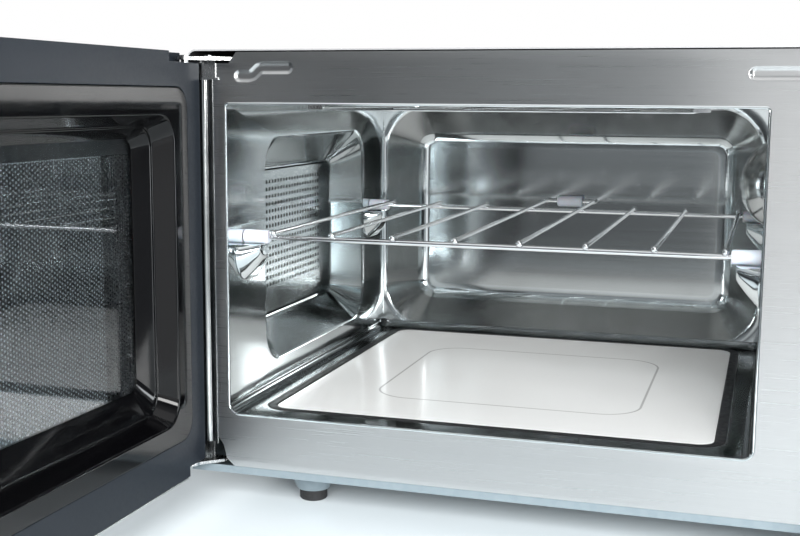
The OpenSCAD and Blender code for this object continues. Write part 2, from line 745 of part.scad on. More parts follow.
// High-voltage capacitor with its strap and terminals
module capacitor() color([0.8, 0.81, 0.82]) {
    at = [bay_x + 110, 286, pan_top + 30];
    r = [16, 26];
    len = 88;
    translate([at[0], at[1] + len / 2, at[2]]) rotate([90, 0, 0]) linear_extrude(len)
        for (side = [0, 1]) mirror([side, 0]) {
            translate([r[1] - r[0], 0]) circle(r[0]);
            translate([0, -r[0]]) square([r[1] - r[0], 2 * r[0]]);
        }
    for (x = [-10, 10]) translate([at[0] + x - 3, at[1] - len / 2 - 9, at[2]]) cube([6, 9, 1]);
    block([at[0] - 12, at[1] - 8, pan_top], [at[0] + 12, at[1] + 8, at[2] - r[0]]);
}

// Fan plate with its round opening and the motor's bridge
module fan_shroud() color([0.2, 0.2, 0.21]) {
    half = fan_r + 10;
    t = 3;
    upright(fan_y, t) difference() {
        translate([fan_axis[0] - half, fan_axis[1] - half]) square(2 * half);
        translate(fan_axis) circle(fan_r + 2);
    }
    upright(fan_y + t, 20) difference() {
        translate([fan_axis[0] - half, fan_axis[1] - half]) square(2 * half);
        translate([fan_axis[0] - half + t, fan_axis[1] - half + t]) square(2 * (half - t));
    }
    upright(fan_y + t + 16, 4) for (angle = [0, 90]) translate(fan_axis) rotate(angle) difference() {
        square([2 * half - 2 * t, 10], center = true);
        circle(shaft_r + 2);
    }
    for (x = [-half, half - 14], z = [-half - 9, half])
        block([fan_axis[0] + x, fan_y + 20, fan_axis[1] + z], [fan_axis[0] + x + 14, back_y, fan_axis[1] + z + 9]);
    for (x = [-half, half - 14], z = [-half, half - 3])
        block([fan_axis[0] + x, fan_y + 20, fan_axis[1] + z], [fan_axis[0] + x + 14, back_y, fan_axis[1] + z + 3]);
}

// Shaded-pole motor of the cooling fan
module fan_motor() color([0.5, 0.5, 0.52]) {
    half = 21;
    y0 = fan_y + 3;
    upright(y0, 16) difference() {
        rounded([fan_axis[0] - half, fan_axis[1] - half], [fan_axis[0] + half, fan_axis[1] + half], 4);
        translate(fan_axis) circle(shaft_r + run_fit);
    }
}

// Fan blades, hub and shaft
module fan_blade() color([0.85, 0.85, 0.86]) translate([fan_axis[0], 0, fan_axis[1]]) rotate([-90, 0, 0]) {
    blades = 5;
    hub_r = 11;
    depth = 16;
    y0 = fan_y - depth - 2;
    translate([0, 0, y0]) cylinder(h = depth, r = hub_r);
    translate([0, 0, y0 + depth]) cylinder(h = 19, r = shaft_r);
    for (k = [0 : blades - 1]) rotate([0, 0, k * 360 / blades]) translate([0, 0, y0]) intersection() {
        cylinder(h = depth, r = fan_r);
        translate([hub_r - 2, 0, depth / 2]) rotate([28, 0, 0]) translate([0, -15, -0.8]) cube([fan_r, 30, 1.6]);
    }
}

// Synchronous gear motor of the stirrer
module stirrer_motor() color([0.78, 0.77, 0.72]) {
    r = 24;
    top = well_z - sheet;
    low = pan_top + 1.5;
    difference() {
        union() {
            translate([stirrer_axis[0], stirrer_axis[1], low]) cylinder(h = top - low - 2, r = r);
            translate([stirrer_axis[0] - r - 7, stirrer_axis[1] - 6, top - 2]) cube([2 * r + 14, 12, 2]);
        }
        translate([stirrer_axis[0], stirrer_axis[1], low + 2]) cylinder(h = top, r = shaft_r + run_fit);
    }
}

// Rotating antenna under the ceramic plate, with its shaft
module stirrer() color([0.83, 0.83, 0.84]) translate([stirrer_axis[0], stirrer_axis[1], 0]) {
    z0 = well_z + 4;
    windows = 3;
    translate([0, 0, z0]) linear_extrude(1.2) difference() {
        circle(stirrer_r);
        for (k = [0 : windows - 1]) rotate(k * 120) translate([18, -13]) square([34, 26]);
    }
    translate([0, 0, pan_top + 4]) cylinder(h = z0 - pan_top - 4, r = shaft_r);
    translate([0, 0, z0]) cylinder(h = 4, r = 7);
}

// Plastic housing behind the latch slots
module latch_housing() color([0.92, 0.92, 0.9]) {
    wall = 1.6;
    depth = 22;
    x = [slot_x - 10, slot_x + 10];
    z = [slot_zs[0] - 8, slot_zs[1] + slot_h + 8];
    difference() {
        block([x[0], sheet, z[0]], [x[1], sheet + depth, z[1]]);
        block([x[0] + wall, sheet - cut, z[0] + wall], [x[1] - wall, sheet + depth - wall, z[1] - wall]);
    }
    block([x[0], sheet, z[1]], [x[1], sheet + wall, z[1] + 8]);
    block([x[0], sheet, z[0] - 8], [x[1], sheet + wall, z[0]]);
}

// Three microswitches on the latch housing
module interlock_switches() color([0.12, 0.12, 0.13]) {
    y0 = sheet + 22;
    for (z = [slot_zs[0] + 2, slot_zs[1] - 26, slot_zs[1] + 4]) {
        block([slot_x - 5, y0, z], [slot_x + 5, y0 + 16, z + 20]);
        for (k = [2, 9, 16]) block([slot_x - 0.4, y0 + 16, z + k - 0.5], [slot_x + 0.4, y0 + 22, z + k + 2.5]);
    }
}

// ==== control panel ====

board_y = panel_front + 15;
button_x = [panel_mid - button_pitch[0] / 2, panel_mid + button_pitch[0] / 2];
buttons = [for (row = [0 : button_rows - 1], x = button_x) [x, button_low + row * button_pitch[1]]];

// Hollow control panel with openings for the buttons, the knob and the display
module control_panel() color([0.76, 0.76, 0.76]) {
    fit = 0.4;
    difference() {
        block([panel_x0, panel_front, door_z0], [x_right, 0, door_z1]);
        block([panel_x0 + panel_t, panel_front + panel_t, door_z0 + panel_t],
            [x_right - panel_t, cut, door_z1 - panel_t]);
        upright(panel_front - cut, panel_t + 2 * cut) {
            for (p = buttons) translate(p) rounded([-button_w / 2 - fit, -button_h / 2 - fit],
                [button_w / 2 + fit, button_h / 2 + fit], 3);
            translate([panel_mid, knob_z]) circle(shaft_r + 1.5);
            translate([panel_mid - display[0] / 2, display_z - display[1] / 2]) square(display);
        }
    }
    for (x = [panel_x0 + 9, x_right - 9], z = [door_z0 + 12, door_z1 - 12])
        translate([x, panel_front + panel_t, z]) rotate([-90, 0, 0]) cylinder(h = board_y - panel_front - panel_t, r = 3);
}

// Circuit board with the knob's encoder, the button switches and a relay
module control_board() color([0.12, 0.35, 0.2]) {
    t = 1.6;
    encoder = 7;
    back = buttons_back();
    upright(board_y, t) translate([panel_x0 + 5, door_z0 + 7]) square([x_right - panel_x0 - 10, door_z1 - door_z0 - 14]);
    upright(board_y - encoder, encoder) translate([panel_mid, knob_z]) difference() {
        square(13, center = true);
        circle(shaft_r + run_fit);
    }
    for (p = buttons) upright(back + button_travel + seat, board_y - back - button_travel - seat)
        translate(p) square(6, center = true);
    block([panel_mid + 14, board_y + t, door_z0 + 60], [panel_mid + 34, board_y + t + 12, door_z0 + 90]);
    block([panel_mid - 34, board_y + t, door_z0 + 66], [panel_mid - 6, board_y + t + 10, door_z0 + 96]);
    block([panel_mid - display[0] / 2 + 4, panel_front + panel_t + 3, display_z - 14],
        [panel_mid + display[0] / 2 - 4, board_y, display_z + 14]);
}

// Dark window over the display
module display_window() color([0.02, 0.02, 0.025]) {
    over = 3;
    upright(panel_front, panel_t) translate([panel_mid - display[0] / 2, display_z - display[1] / 2]) square(display);
    upright(panel_front + panel_t, 1.5) translate([panel_mid - display[0] / 2 - over, display_z - display[1] / 2 - over])
        square([display[0] + 2 * over, display[1] + 2 * over]);
}

// Selector knob with its grip ring, pointer groove and shaft
module selector_knob() color([0.7, 0.7, 0.71]) translate([panel_mid, 0, knob_z]) difference() {
    rotate([-90, 0, 0]) union() {
        translate([0, 0, panel_front - seat - knob_out]) rotate_extrude($fn = 96) polygon([[0, 0],
            [knob_dia / 2 - 2, 0], [knob_dia / 2 - 1, 1], [knob_dia / 2, knob_out - 4], [knob_dia / 2 + 2, knob_out - 3],
            [knob_dia / 2 + 2, knob_out], [0, knob_out]]);
        translate([0, 0, panel_front - seat]) cylinder(h = board_y - panel_front - 0.5, r = shaft_r);
    }
    block([-1, panel_front - seat - knob_out - cut, knob_dia / 4], [1, panel_front - seat - knob_out + 1, knob_dia / 2 - 3]);
}

function buttons_back() = panel_front + panel_t + button_travel + 2;

// Push button number n, with its flange behind the panel and its stem towards the switch
module push_button(n) color([0.68, 0.68, 0.69]) {
    lip = 1.2;
    behind = panel_front + panel_t + seat;
    translate([buttons[n][0], 0, buttons[n][1]]) {
        upright(panel_front - button_out, behind - panel_front + button_out)
            rounded([-button_w / 2, -button_h / 2], [button_w / 2, button_h / 2], 2.6);
        upright(behind, 1.2) rounded([-button_w / 2 - lip, -button_h / 2 - lip], [button_w / 2 + lip, button_h / 2 + lip], 3);
        upright(behind + 1.2, buttons_back() - behind - 1.2) circle(2);
    }
}

// ==== hinges, inlet and screws ====

// Flat hinge arm from the pin back to point p on the front plate
module hinge_arm(p, w, z) translate([0, 0, z]) linear_extrude(arm_t) {
    run = [p[0] - hinge_x, p[1] - hinge_y];
    reach = norm(run);
    translate([hinge_x, hinge_y]) {
        circle(arm_r);
        rotate(atan2(run[1], run[0])) translate([0, -w / 2]) square([reach, w]);
    }
}

// Upper hinge: arm, pin with its head, and the leaf that stands on the step of the front plate
module upper_hinge() color([0.8, 0.8, 0.81]) {
    z = arm_top_z;
    leaf = [-17.4, -7.2];
    leaf_z = z - 11;
    hinge_arm([2, 6], 7, z);
    translate([hinge_x, hinge_y, z - bush_h + 1]) cylinder(h = bush_h, r = pin_dia / 2);
    translate([hinge_x, hinge_y, z + arm_t]) cylinder(h = 1, r = pin_dia / 2 + 1);
    translate([-11, -1.5, z + arm_t]) cylinder(h = 1, r = 2.4);
    block([-face_left - joggle_w - 14, sheet + seat, z], [0.8, 10, z + arm_t]);
    block([leaf[0], -0.8, leaf_z], [leaf[1], 0, z]);
    block([leaf[0], -0.8, leaf_z], [leaf[0] + 1.2, joggle_d - 1.6, z]);
    block([leaf[0], -1.2, leaf_z - 1.2], [leaf[1] + 2, 0, leaf_z]);
}

// Lower hinge: arm, pin with the collar that carries the door, and its leaf behind the front plate
module lower_hinge() color([0.8, 0.8, 0.81]) {
    z = arm_low_z;
    leaf = [x_left + 3, -face_left - joggle_w - 1];
    hinge_arm([-8.5, 6], 7, z);
    translate([hinge_x, hinge_y, z + arm_t]) cylinder(h = bush_h, r = pin_dia / 2);
    translate([hinge_x, hinge_y, z + arm_t]) cylinder(h = 2.1, r = pin_dia / 2 + 1.8);
    block([leaf[0], joggle_d + sheet, z], [-5.5, joggle_d + sheet + 6, z + arm_t]);
    difference() {
        block([leaf[0], joggle_d + sheet, z + arm_t], [leaf[1], joggle_d + sheet + arm_t, z + 30]);
        for (k = [16, 25]) translate([(leaf[0] + leaf[1]) / 2, joggle_d, z + k]) rotate([-90, 0, 0])
            cylinder(h = 6, r = screw_hole_r);
    }
}

// Strain-relief gland of the mains lead
module mains_inlet() color([0.06, 0.06, 0.06]) {
    flange_r = inlet_r + 3;
    translate([inlet[0], 0, inlet[1]]) rotate([-90, 0, 0]) difference() {
        union() {
            translate([0, 0, back_y - 6]) cylinder(h = 9 + sheet + 2, r = inlet_r - 0.05);
            translate([0, 0, back_y + sheet]) rotate_extrude() polygon([[0, 0], [flange_r, 0], [flange_r, 2.5],
                [inlet_r, 9 + 3], [0, 12]]);
        }
        translate([0, 0, back_y - 6 - cut]) cylinder(h = 30, r = 3.6);
    }
}

// Pan-head screw pointing along +z
module screw() {
    translate([0, 0, -screw_head[1]]) cylinder(h = screw_head[1], r = screw_head[0]);
    cylinder(h = screw_len, r = screw_r);
}

// Screws of the casing and the rear panel
module casing_screws() color([0.55, 0.55, 0.56]) {
    for (p = side_screws) {
        translate([x_left, p[0], p[1]]) rotate([0, 90, 0]) screw();
        translate([x_right, p[0], p[1]]) rotate([0, -90, 0]) screw();
    }
    for (p = back_screws) translate([p[0], back_y + sheet, p[1]]) rotate([90, 0, 0]) screw();
}

// ==== door ====

// Boxes cut out of the door's inner hinge corners, so that the arms clear it
module pockets(g) {
    block([x_left - cut, door_in - pocket_d - g, door_z1 - pocket_h - g],
        [x_left + pocket_top_l + g, door_in + cut, door_z1 + cut]);
    block([x_left - cut, door_in - pocket_d - g, door_z0 - 6],
        [x_left + pocket_low_l + g, door_in + cut, door_z0 + pocket_h + g]);
}

// Inner frame of painted steel: face ring, edge flanges, the well for the choke cover and the hinge pockets
module door_frame() color([0.3, 0.31, 0.32]) swing() {
    choke_a = [choke_x[0], choke_z[0]];
    choke_b = [choke_x[1], choke_z[1]];
    back = door_in - window_depth - glass_t - screen_t;
    difference() {
        union() {
            upright(door_in - sheet, sheet) difference() {
                translate([x_left, door_z0]) square([door_w, door_z1 - door_z0]);
                rounded(choke_a, choke_b, choke_r);
                for (z = slot_zs) translate([slot_x - slot_w / 2, z]) square([slot_w, slot_h]);
            }
            upright(skin_seam + seat, door_in - sheet - skin_seam - seat) difference() {
                translate([x_left, door_z0]) square([door_w, door_z1 - door_z0]);
                translate([x_left + sheet, door_z0 + sheet]) square([door_w - 2 * sheet, door_z1 - door_z0 - 2 * sheet]);
            }
            upright(back, door_in - sheet - back) difference() {
                grown(choke_a, choke_b, choke_r, sheet);
                rounded(choke_a, choke_b, choke_r);
            }
            upright(back - sheet, sheet) difference() {
                grown(choke_a, choke_b, choke_r, sheet);
                rounded([window_x[0], window_z[0]], [window_x[1], window_z[1]], 6);
            }
        }
        pockets(0);
    }
    difference() {
        intersection() {
            pockets(sheet);
            block([x_left, door_in - pocket_d - sheet, door_z0], [choke_x[0] - sheet, door_in - sheet, door_z1]);
        }
        pockets(0);
        translate([hinge_x, hinge_y, door_z1 - pocket_h - sheet - cut])
            cylinder(h = sheet + 2 * cut, r = pin_dia / 2 + 0.6);
        translate([hinge_x, hinge_y, door_z0 + pocket_h - cut]) cylinder(h = sheet + 2 * cut, r = pin_dia / 2 + 2.2);
    }
}

// Bushes that the hinge pins turn in
module hinge_bushes() color([0.93, 0.93, 0.92]) swing() {
    half = [4.6, 6.6];
    z = [door_z1 - pocket_h - sheet - bush_h, door_z0 + pocket_h + sheet];
    for (k = z) difference() {
        block([hinge_x - pin_edge + sheet, hinge_y - half[1], k], [hinge_x + half[1], door_in - sheet, k + bush_h]);
        translate([hinge_x, hinge_y, k - cut]) cylinder(h = bush_h + 2 * cut, r = pin_dia / 2 + run_fit);
    }
}

// Glossy plastic cover of the microwave choke, stepped down to the window
module choke_cover() color([0.02, 0.02, 0.022]) swing() {
    proud = 0.5;
    a = [choke_x[0], choke_z[0]];
    b = [choke_x[1], choke_z[1]];
    ridge_a = [a[0] + ridge, a[1] + ridge_bottom];
    ridge_b = [b[0] - ridge, b[1] - ridge];
    step_a = [ridge_a[0] + step_w, ridge_a[1] + step_w];
    step_b = [ridge_b[0] - step_w, ridge_b[1] - step_w];
    translate([0, door_in + proud, 0]) rotate([90, 0, 0]) difference() {
        linear_extrude(window_depth + proud) grown(a, b, choke_r, -seat);
        translate([0, 0, -0.01]) taper(step_d + proud) {
            rounded(ridge_a, ridge_b, 14, $fn = 32);
            rounded(step_a, step_b, 12, $fn = 32);
        }
        translate([0, 0, step_d + proud - 0.02]) taper(window_depth - step_d + 0.04) {
            rounded([step_a[0] + 1.5, step_a[1] + 1.5], [step_b[0] - 1.5, step_b[1] - 1.5], 10, $fn = 32);
            rounded([window_x[0], window_z[0]], [window_x[1], window_z[1]], 6, $fn = 32);
        }
    }
}

module window_sheet(y, t) swing() upright(y, t) rounded([window_x[0] - glass_over, window_z[0] - glass_over],
    [window_x[1] + glass_over, window_z[1] + glass_over], 4);

// Inner glass of the door's window
module inner_glass() color([0.1, 0.11, 0.12, 0.5])
    window_sheet(door_in - window_depth - glass_t, glass_t);

// Perforated screen behind the inner glass
module window_screen() color([0.08, 0.08, 0.085])
    window_sheet(door_in - window_depth - glass_t - screen_t, screen_t);

// Outer skin of the door, with the opening for the outer glass
module door_skin() color([0.78, 0.79, 0.8]) swing() {
    lip_y = door_in - 5;
    difference() {
        block([x_left, door_out, skin_z0], [door_x1, skin_seam, door_z1]);
        block([x_left + sheet, door_out + sheet, skin_z0 + sheet], [door_x1 - sheet, skin_seam + cut, door_z1 - sheet]);
        upright(door_out - cut, sheet + 2 * cut) rounded([glass_x[0], glass_z[0]], [glass_x[1], glass_z[1]], 5);
        for (z = [-post_span / 2, post_span / 2]) translate([handle_x, door_out - cut, handle_mid + z])
            rotate([-90, 0, 0]) cylinder(h = sheet + 2 * cut, r = screw_hole_r);
    }
    block([x_left + 14, skin_seam, skin_z0], [door_x1, lip_y, skin_z0 + sheet]);
}

// Outer glass behind the skin's opening
module outer_glass() color([0.05, 0.05, 0.055, 0.6]) swing() {
    over = 10;
    upright(door_out + sheet, outer_glass_t) rounded([glass_x[0] - over, glass_z[0] - over],
        [glass_x[1] + over, glass_z[1] + over], 8);
}

// Bar handle on two posts
module door_handle() color([0.8, 0.8, 0.81]) swing() translate([handle_x, 0, handle_mid]) {
    r = handle_dia / 2;
    translate([0, handle_y, -handle_len / 2]) rotate_extrude() polygon([[0, 0], [r - 2, 0], [r, 2],
        [r, handle_len - 2], [r - 2, handle_len], [0, handle_len]]);
    for (z = [-post_span / 2, post_span / 2]) translate([0, handle_y, z]) rotate([-90, 0, 0])
        cylinder(h = door_out - handle_y, r = post_r);
}

// Latch bar with its two hooks, which slides up and down in the door
module latch_hooks() color([0.9, 0.9, 0.88]) swing() {
    half = slot_w / 2 - seat;
    bar_y = [door_in - 15, door_in - 9];
    hook_h = 9;
    reach = 14;
    for (z = slot_zs) translate([slot_x - half, 0, z + 2]) rotate([90, 0, 90]) linear_extrude(2 * half)
        polygon([[bar_y[1], 0], [bar_y[1], hook_h], [reach - 3, hook_h], [reach, hook_h - 3], [reach, -1],
            [reach - 5, -1], [reach - 5, 3], [0, 3], [0, 0]]);
    block([slot_x - half, bar_y[0], slot_zs[0] - 12], [slot_x + half, bar_y[1], slot_zs[1] + 22]);
}

// ==== rack ====

bar_end_gap = 20.5;
bar_z = rack_z + rod_dia / 2 + bar_dia / 2 - 0.3;
bar_xs = [for (i = [0 : rack_bars - 1]) bar_end_gap + i * (opening_w - 2 * bar_end_gap) / (rack_bars - 1)];
mid_bars = [bar_xs[floor(rack_bars / 2) - 1], bar_xs[floor(rack_bars / 2)]];

module rod(x, y, d) translate([x[0], y, rack_z]) rotate([0, 90, 0]) cylinder(h = x[1] - x[0], r = d / 2);

// Welded wires of the rack
module rack_wires() color([0.83, 0.84, 0.85]) {
    blind = 3;
    for (y = rack_y) rod([sleeve_x + blind, opening_w - sleeve_x - blind], y, rod_dia);
    for (x = bar_xs) {
        long = x == mid_bars[0] || x == mid_bars[1];
        translate([x, rack_y[0] - bar_over, bar_z]) rotate([-90, 0, 0])
            cylinder(h = (long ? bumper_y : rack_y[1] + 4) - rack_y[0] + bar_over, r = bar_dia / 2);
    }
    translate([mid_bars[0] - 1, bumper_y, bar_z]) rotate([0, 90, 0])
        cylinder(h = mid_bars[1] - mid_bars[0] + 2, r = bar_dia / 2);
}

// White sleeves at the rack's corners and on its rear bumper
module rack_sleeves() color([0.93, 0.93, 0.94]) {
    bumper_len = 22;
    grip = 0.02;
    blind = 3;
    for (y = rack_y, left = [true, false]) {
        x = left ? sleeve_x : opening_w - sleeve_x - sleeve_len;
        difference() {
            rod([x, x + sleeve_len], y, sleeve_dia);
            rod(left ? [x + blind, x + sleeve_len + cut] : [x - cut, x + sleeve_len - blind], y, rod_dia + 2 * grip);
        }
    }
    mid = (mid_bars[0] + mid_bars[1]) / 2;
    translate([mid - bumper_len / 2, bumper_y, bar_z]) rotate([0, 90, 0]) difference() {
        cylinder(h = bumper_len, r = sleeve_dia / 2);
        translate([0, 0, -cut]) cylinder(h = bumper_len + 2 * cut, r = bar_dia / 2 + grip);
    }
}

place() outer_casing();
place() back_panel();
place() base_pan();
place() rubber_feet();
place() front_frame();
place() cavity_left_wall();
place() cavity_right_wall();
place() cavity_back_wall();
place() cavity_ceiling();
place() cavity_floor();
place() vent_grille();
place() ceramic_plate();
place() plate_seal();
place() grill_guard();
place() grill_heater();
place() heater_holders();
place() cavity_lamp();
place() waveguide();
place() magnetron();
place() transformer();
place() capacitor();
place() fan_shroud();
place() fan_motor();
place() fan_blade();
place() stirrer_motor();
place() stirrer();
place() latch_housing();
place() interlock_switches();
place() control_panel();
place() control_board();
place() display_window();
place() selector_knob();
place() push_button(0);  // button_1
place() push_button(1);  // button_2
place() push_button(2);  // button_3
place() push_button(3);  // button_4
place() push_button(4);  // button_5
place() push_button(5);  // button_6
place() upper_hinge();
place() lower_hinge();
place() mains_inlet();
place() casing_screws();
place() door_frame();
place() choke_cover();
place() window_screen();
place() inner_glass();
place() door_skin();
place() outer_glass();
place() door_handle();
place() hinge_bushes();
place() latch_hooks();
place() rack_wires();
place() rack_sleeves();
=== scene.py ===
# %% [markdown]
# # Dressing a countertop combination oven
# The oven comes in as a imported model: every part has its true size and place, but plain faces.
# A cell of text comes before each step. It says what the part is, how it could be made, and why
# it is made the way that follows.

# %% Load the frame
import json
from math import cos, hypot, pi, radians, sin, sqrt
import bpy
import bmesh
from mathutils import Matrix, Vector
from mathutils.geometry import tessellate_polygon

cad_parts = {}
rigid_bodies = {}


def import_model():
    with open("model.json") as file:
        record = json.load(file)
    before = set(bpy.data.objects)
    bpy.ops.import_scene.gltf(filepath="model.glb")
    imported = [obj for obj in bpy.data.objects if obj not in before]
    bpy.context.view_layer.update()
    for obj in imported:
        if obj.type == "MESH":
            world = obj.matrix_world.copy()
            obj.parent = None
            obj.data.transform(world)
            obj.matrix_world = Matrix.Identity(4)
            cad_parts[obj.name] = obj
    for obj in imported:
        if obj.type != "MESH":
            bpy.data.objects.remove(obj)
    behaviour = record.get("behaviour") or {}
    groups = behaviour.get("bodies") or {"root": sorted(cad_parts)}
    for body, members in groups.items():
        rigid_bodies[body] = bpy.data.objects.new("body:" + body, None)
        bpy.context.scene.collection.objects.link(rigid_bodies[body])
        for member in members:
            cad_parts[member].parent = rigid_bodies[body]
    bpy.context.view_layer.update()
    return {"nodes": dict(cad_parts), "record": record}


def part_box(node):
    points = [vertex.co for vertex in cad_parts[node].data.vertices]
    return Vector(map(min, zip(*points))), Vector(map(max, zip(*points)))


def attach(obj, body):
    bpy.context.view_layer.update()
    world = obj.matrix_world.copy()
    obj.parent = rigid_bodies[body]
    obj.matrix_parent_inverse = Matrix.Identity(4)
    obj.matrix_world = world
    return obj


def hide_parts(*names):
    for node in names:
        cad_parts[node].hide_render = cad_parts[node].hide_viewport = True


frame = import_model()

print("nodes in the model:", len(frame["nodes"]))

# %% [markdown]
# ## One ruler for every part
# The model is in metres and its origin lies under the middle of the oven with the door open.
# An oven is easier to draw in millimetres from the corner of its own opening, so `place` turns
# such a point into the model's frame. The door is drawn shut and `swing` opens it about its pins.

# %% The ruler
WIDTH, DEPTH = 330.0, 324.0
FLOOR, CEILING = 68.0, 269.0
FRAME_LOW, FRAME_TOP = 32.0, 302.0
LEFT, RIGHT = -30.0, 483.0
PLATE = (20.7, 22.0, 307.7, 314.0)
PLATE_LOW, PLATE_CORNER = 63.0, 11.0
SHEET = 0.8
DOOR_FACE = -1.5
PIN = Vector((-24.2, -8.5, 0.0))
OPEN = Matrix.Rotation(radians(-91), 3, "Z")
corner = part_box("ceramic_plate")[0] * 1000 - Vector((*PLATE[:2], PLATE_LOW))


def place(p):
    return (Vector(p) + corner) / 1000


def swing(p):
    return PIN + OPEN @ (Vector(p) - PIN)


print("the opening's corner stands at", [round(v, 5) for v in place((0, 0, FLOOR))])

# %% [markdown]
# ## Camera
# The camera stands a little above the rack and looks down into the oven from the right.
# It is a normal lens on a 36 mm frame, with no shift and no depth of field.

# %% Camera
def new_object(name, data):
    obj = bpy.data.objects.new(name, data)
    bpy.context.collection.objects.link(obj)
    return obj


eye = Vector((0.13719, -0.69557, 0.27361))
yaw, pitch, roll = 0.30030548, 0.14048866, 0.00625966
ahead = Vector((-sin(yaw) * cos(pitch), cos(yaw) * cos(pitch), -sin(pitch)))
side = Vector((cos(yaw), sin(yaw), 0))
up = side.cross(ahead)
side, up = (side * cos(roll) + up * sin(roll), up * cos(roll) - side * sin(roll))
camera = new_object("camera", bpy.data.cameras.new("camera"))
camera.data.lens = 53.95
camera.data.sensor_width = 36
camera.matrix_world = Matrix.Translation(eye) @ Matrix((side, up, -ahead)).transposed().to_4x4()
bpy.context.scene.camera = camera
bpy.context.scene.view_settings.view_transform = "Standard"
print("camera stands", round((eye - place((WIDTH / 2, 0, 168))).length, 3), "m from the opening")

# %% [markdown]
# ## Studio
# Polished steel has no colour of its own: it shows the room. The room is a white studio that gets
# darker behind the camera, which draws the grey gradients on the metal. Camera, mirror and glass
# rays see that room; what lights the oven is a dim even fill and soft lamps. One softbox, at the
# side, draws the thin bright lines on the rounded edges of the door's black cover. `wire` adds a
# shader or geometry node in one line, and `Sum` lets such nodes be added like plain numbers.

# %% Nodes in one line
def out(value):
    """What a link starts from: a node's first output, the socket of a Sum, or the value as it is."""
    return value.outputs[0] if isinstance(value, bpy.types.Node) else getattr(value, "socket", value)


def wire(tree, kind, **values):
    """Adds a node and sets its properties and inputs, by name or as _3 by number; nodes are linked."""
    if not kind.startswith(("ShaderNode", "FunctionNode", "NodeGroup")):
        kind = tree.bl_idname.removesuffix("Tree") + kind
    node = tree.nodes.new(kind)
    for key, value in values.items():
        if hasattr(node, key):
            setattr(node, key, value)
            continue
        target = node.inputs[int(key[1:]) if key[0] == "_" else key.replace("_", " ")]
        value = out(value)
        if isinstance(value, bpy.types.NodeSocket):
            tree.links.new(value, target)
        else:
            target.default_value = value
    return node


class Sum:
    """A number in a node tree: arithmetic on it adds the nodes that work the result out."""

    def __init__(self, tree, source):
        self.tree, self.socket = tree, out(source)

    def math(self, operation, *others):
        values = {f"_{k}": value for k, value in enumerate((self, *others))}
        return Sum(self.tree, wire(self.tree, "ShaderNodeMath", operation=operation, **values))

    __add__ = lambda self, other: self.math("ADD", other)
    __sub__ = lambda self, other: self.math("SUBTRACT", other)
    __mul__ = lambda self, other: self.math("MULTIPLY", other)
    __truediv__ = lambda self, other: self.math("DIVIDE", other)
    __abs__ = lambda self: self.math("ABSOLUTE")


def ramp(tree, factor, stops):
    """A colour ramp with stops of (position, grey or colour)."""
    node = wire(tree, "ValToRGB", _0=factor)
    elements = node.color_ramp.elements
    while len(elements) < len(stops):
        elements.new(0.5)
    for element, (at, colour) in zip(elements, stops):
        element.position = at
        element.color = (*([colour] * 3 if isinstance(colour, (int, float)) else colour), 1)
    return node


def mix(tree, share, first, second, **more):
    return wire(tree, "Mix", data_type="RGBA", _0=share, _6=first, _7=second, **more).outputs[2]


# %% Room, lamps and floor
world = bpy.data.worlds.new("studio")
bpy.context.scene.world = world
world.use_nodes = True
room = world.node_tree
room.nodes.clear()
axes = wire(room, "SeparateXYZ", _0=wire(room, "TexCoord").outputs["Generated"]).outputs
bearing = Sum(room, axes["X"]).math("ARCTAN2", Sum(room, axes["Y"]) * -1.0)
round_about = wire(room, "MapRange", _0=bearing, _1=-pi, _2=pi)


def around(*stops):
    """Grey by compass direction: 0 degrees is straight ahead of the front plate, plus is to the right."""
    return ramp(room, round_about, [((turn + 180) / 360, (g * 0.94, g, min(1, g * 1.05))) for turn, g in stops])


wall = around((-180, 1.0), (-100, 0.9), (-60, 0.45), (-40, 0.12), (-22, 0.05), (-14, 0.2), (-9, 0.3), (0, 0.3),
    (9, 0.24), (15, 0.1), (25, 0.08), (45, 0.08), (66, 0.16), (82, 0.85), (100, 0.9), (180, 1.0))
ground = around((-180, 0.5), (-60, 0.3), (-40, 0.05), (-14, 0.05), (-6, 0.1), (8, 0.15), (16, 0.38), (45, 0.42),
    (180, 0.5))
above = wire(room, "MapRange", _0=axes["Z"], _1=0.32, _2=0.85, interpolation_type="SMOOTHSTEP")
below = wire(room, "MapRange", _0=axes["Z"], _1=-0.02, _2=-0.08)
tone = mix(room, above, mix(room, below, wall, ground), (0.75, 0.76, 0.77, 1))
rays = wire(room, "LightPath").outputs
seen = mix(room, rays["Is Camera Ray"], tone, (1, 1, 1, 1))
sky = wire(room, "Background", Color=seen, Strength=1.0)
fill = wire(room, "Background", Color=(0.93, 0.96, 1.0, 1), Strength=0.32)
direct = Sum(room, rays["Is Glossy Ray"])
for kind in ("Is Transmission Ray", "Is Camera Ray"):
    direct = direct.math("MAXIMUM", rays[kind])
wire(room, "OutputWorld", Surface=wire(room, "MixShader", _0=direct, _1=fill, _2=sky))

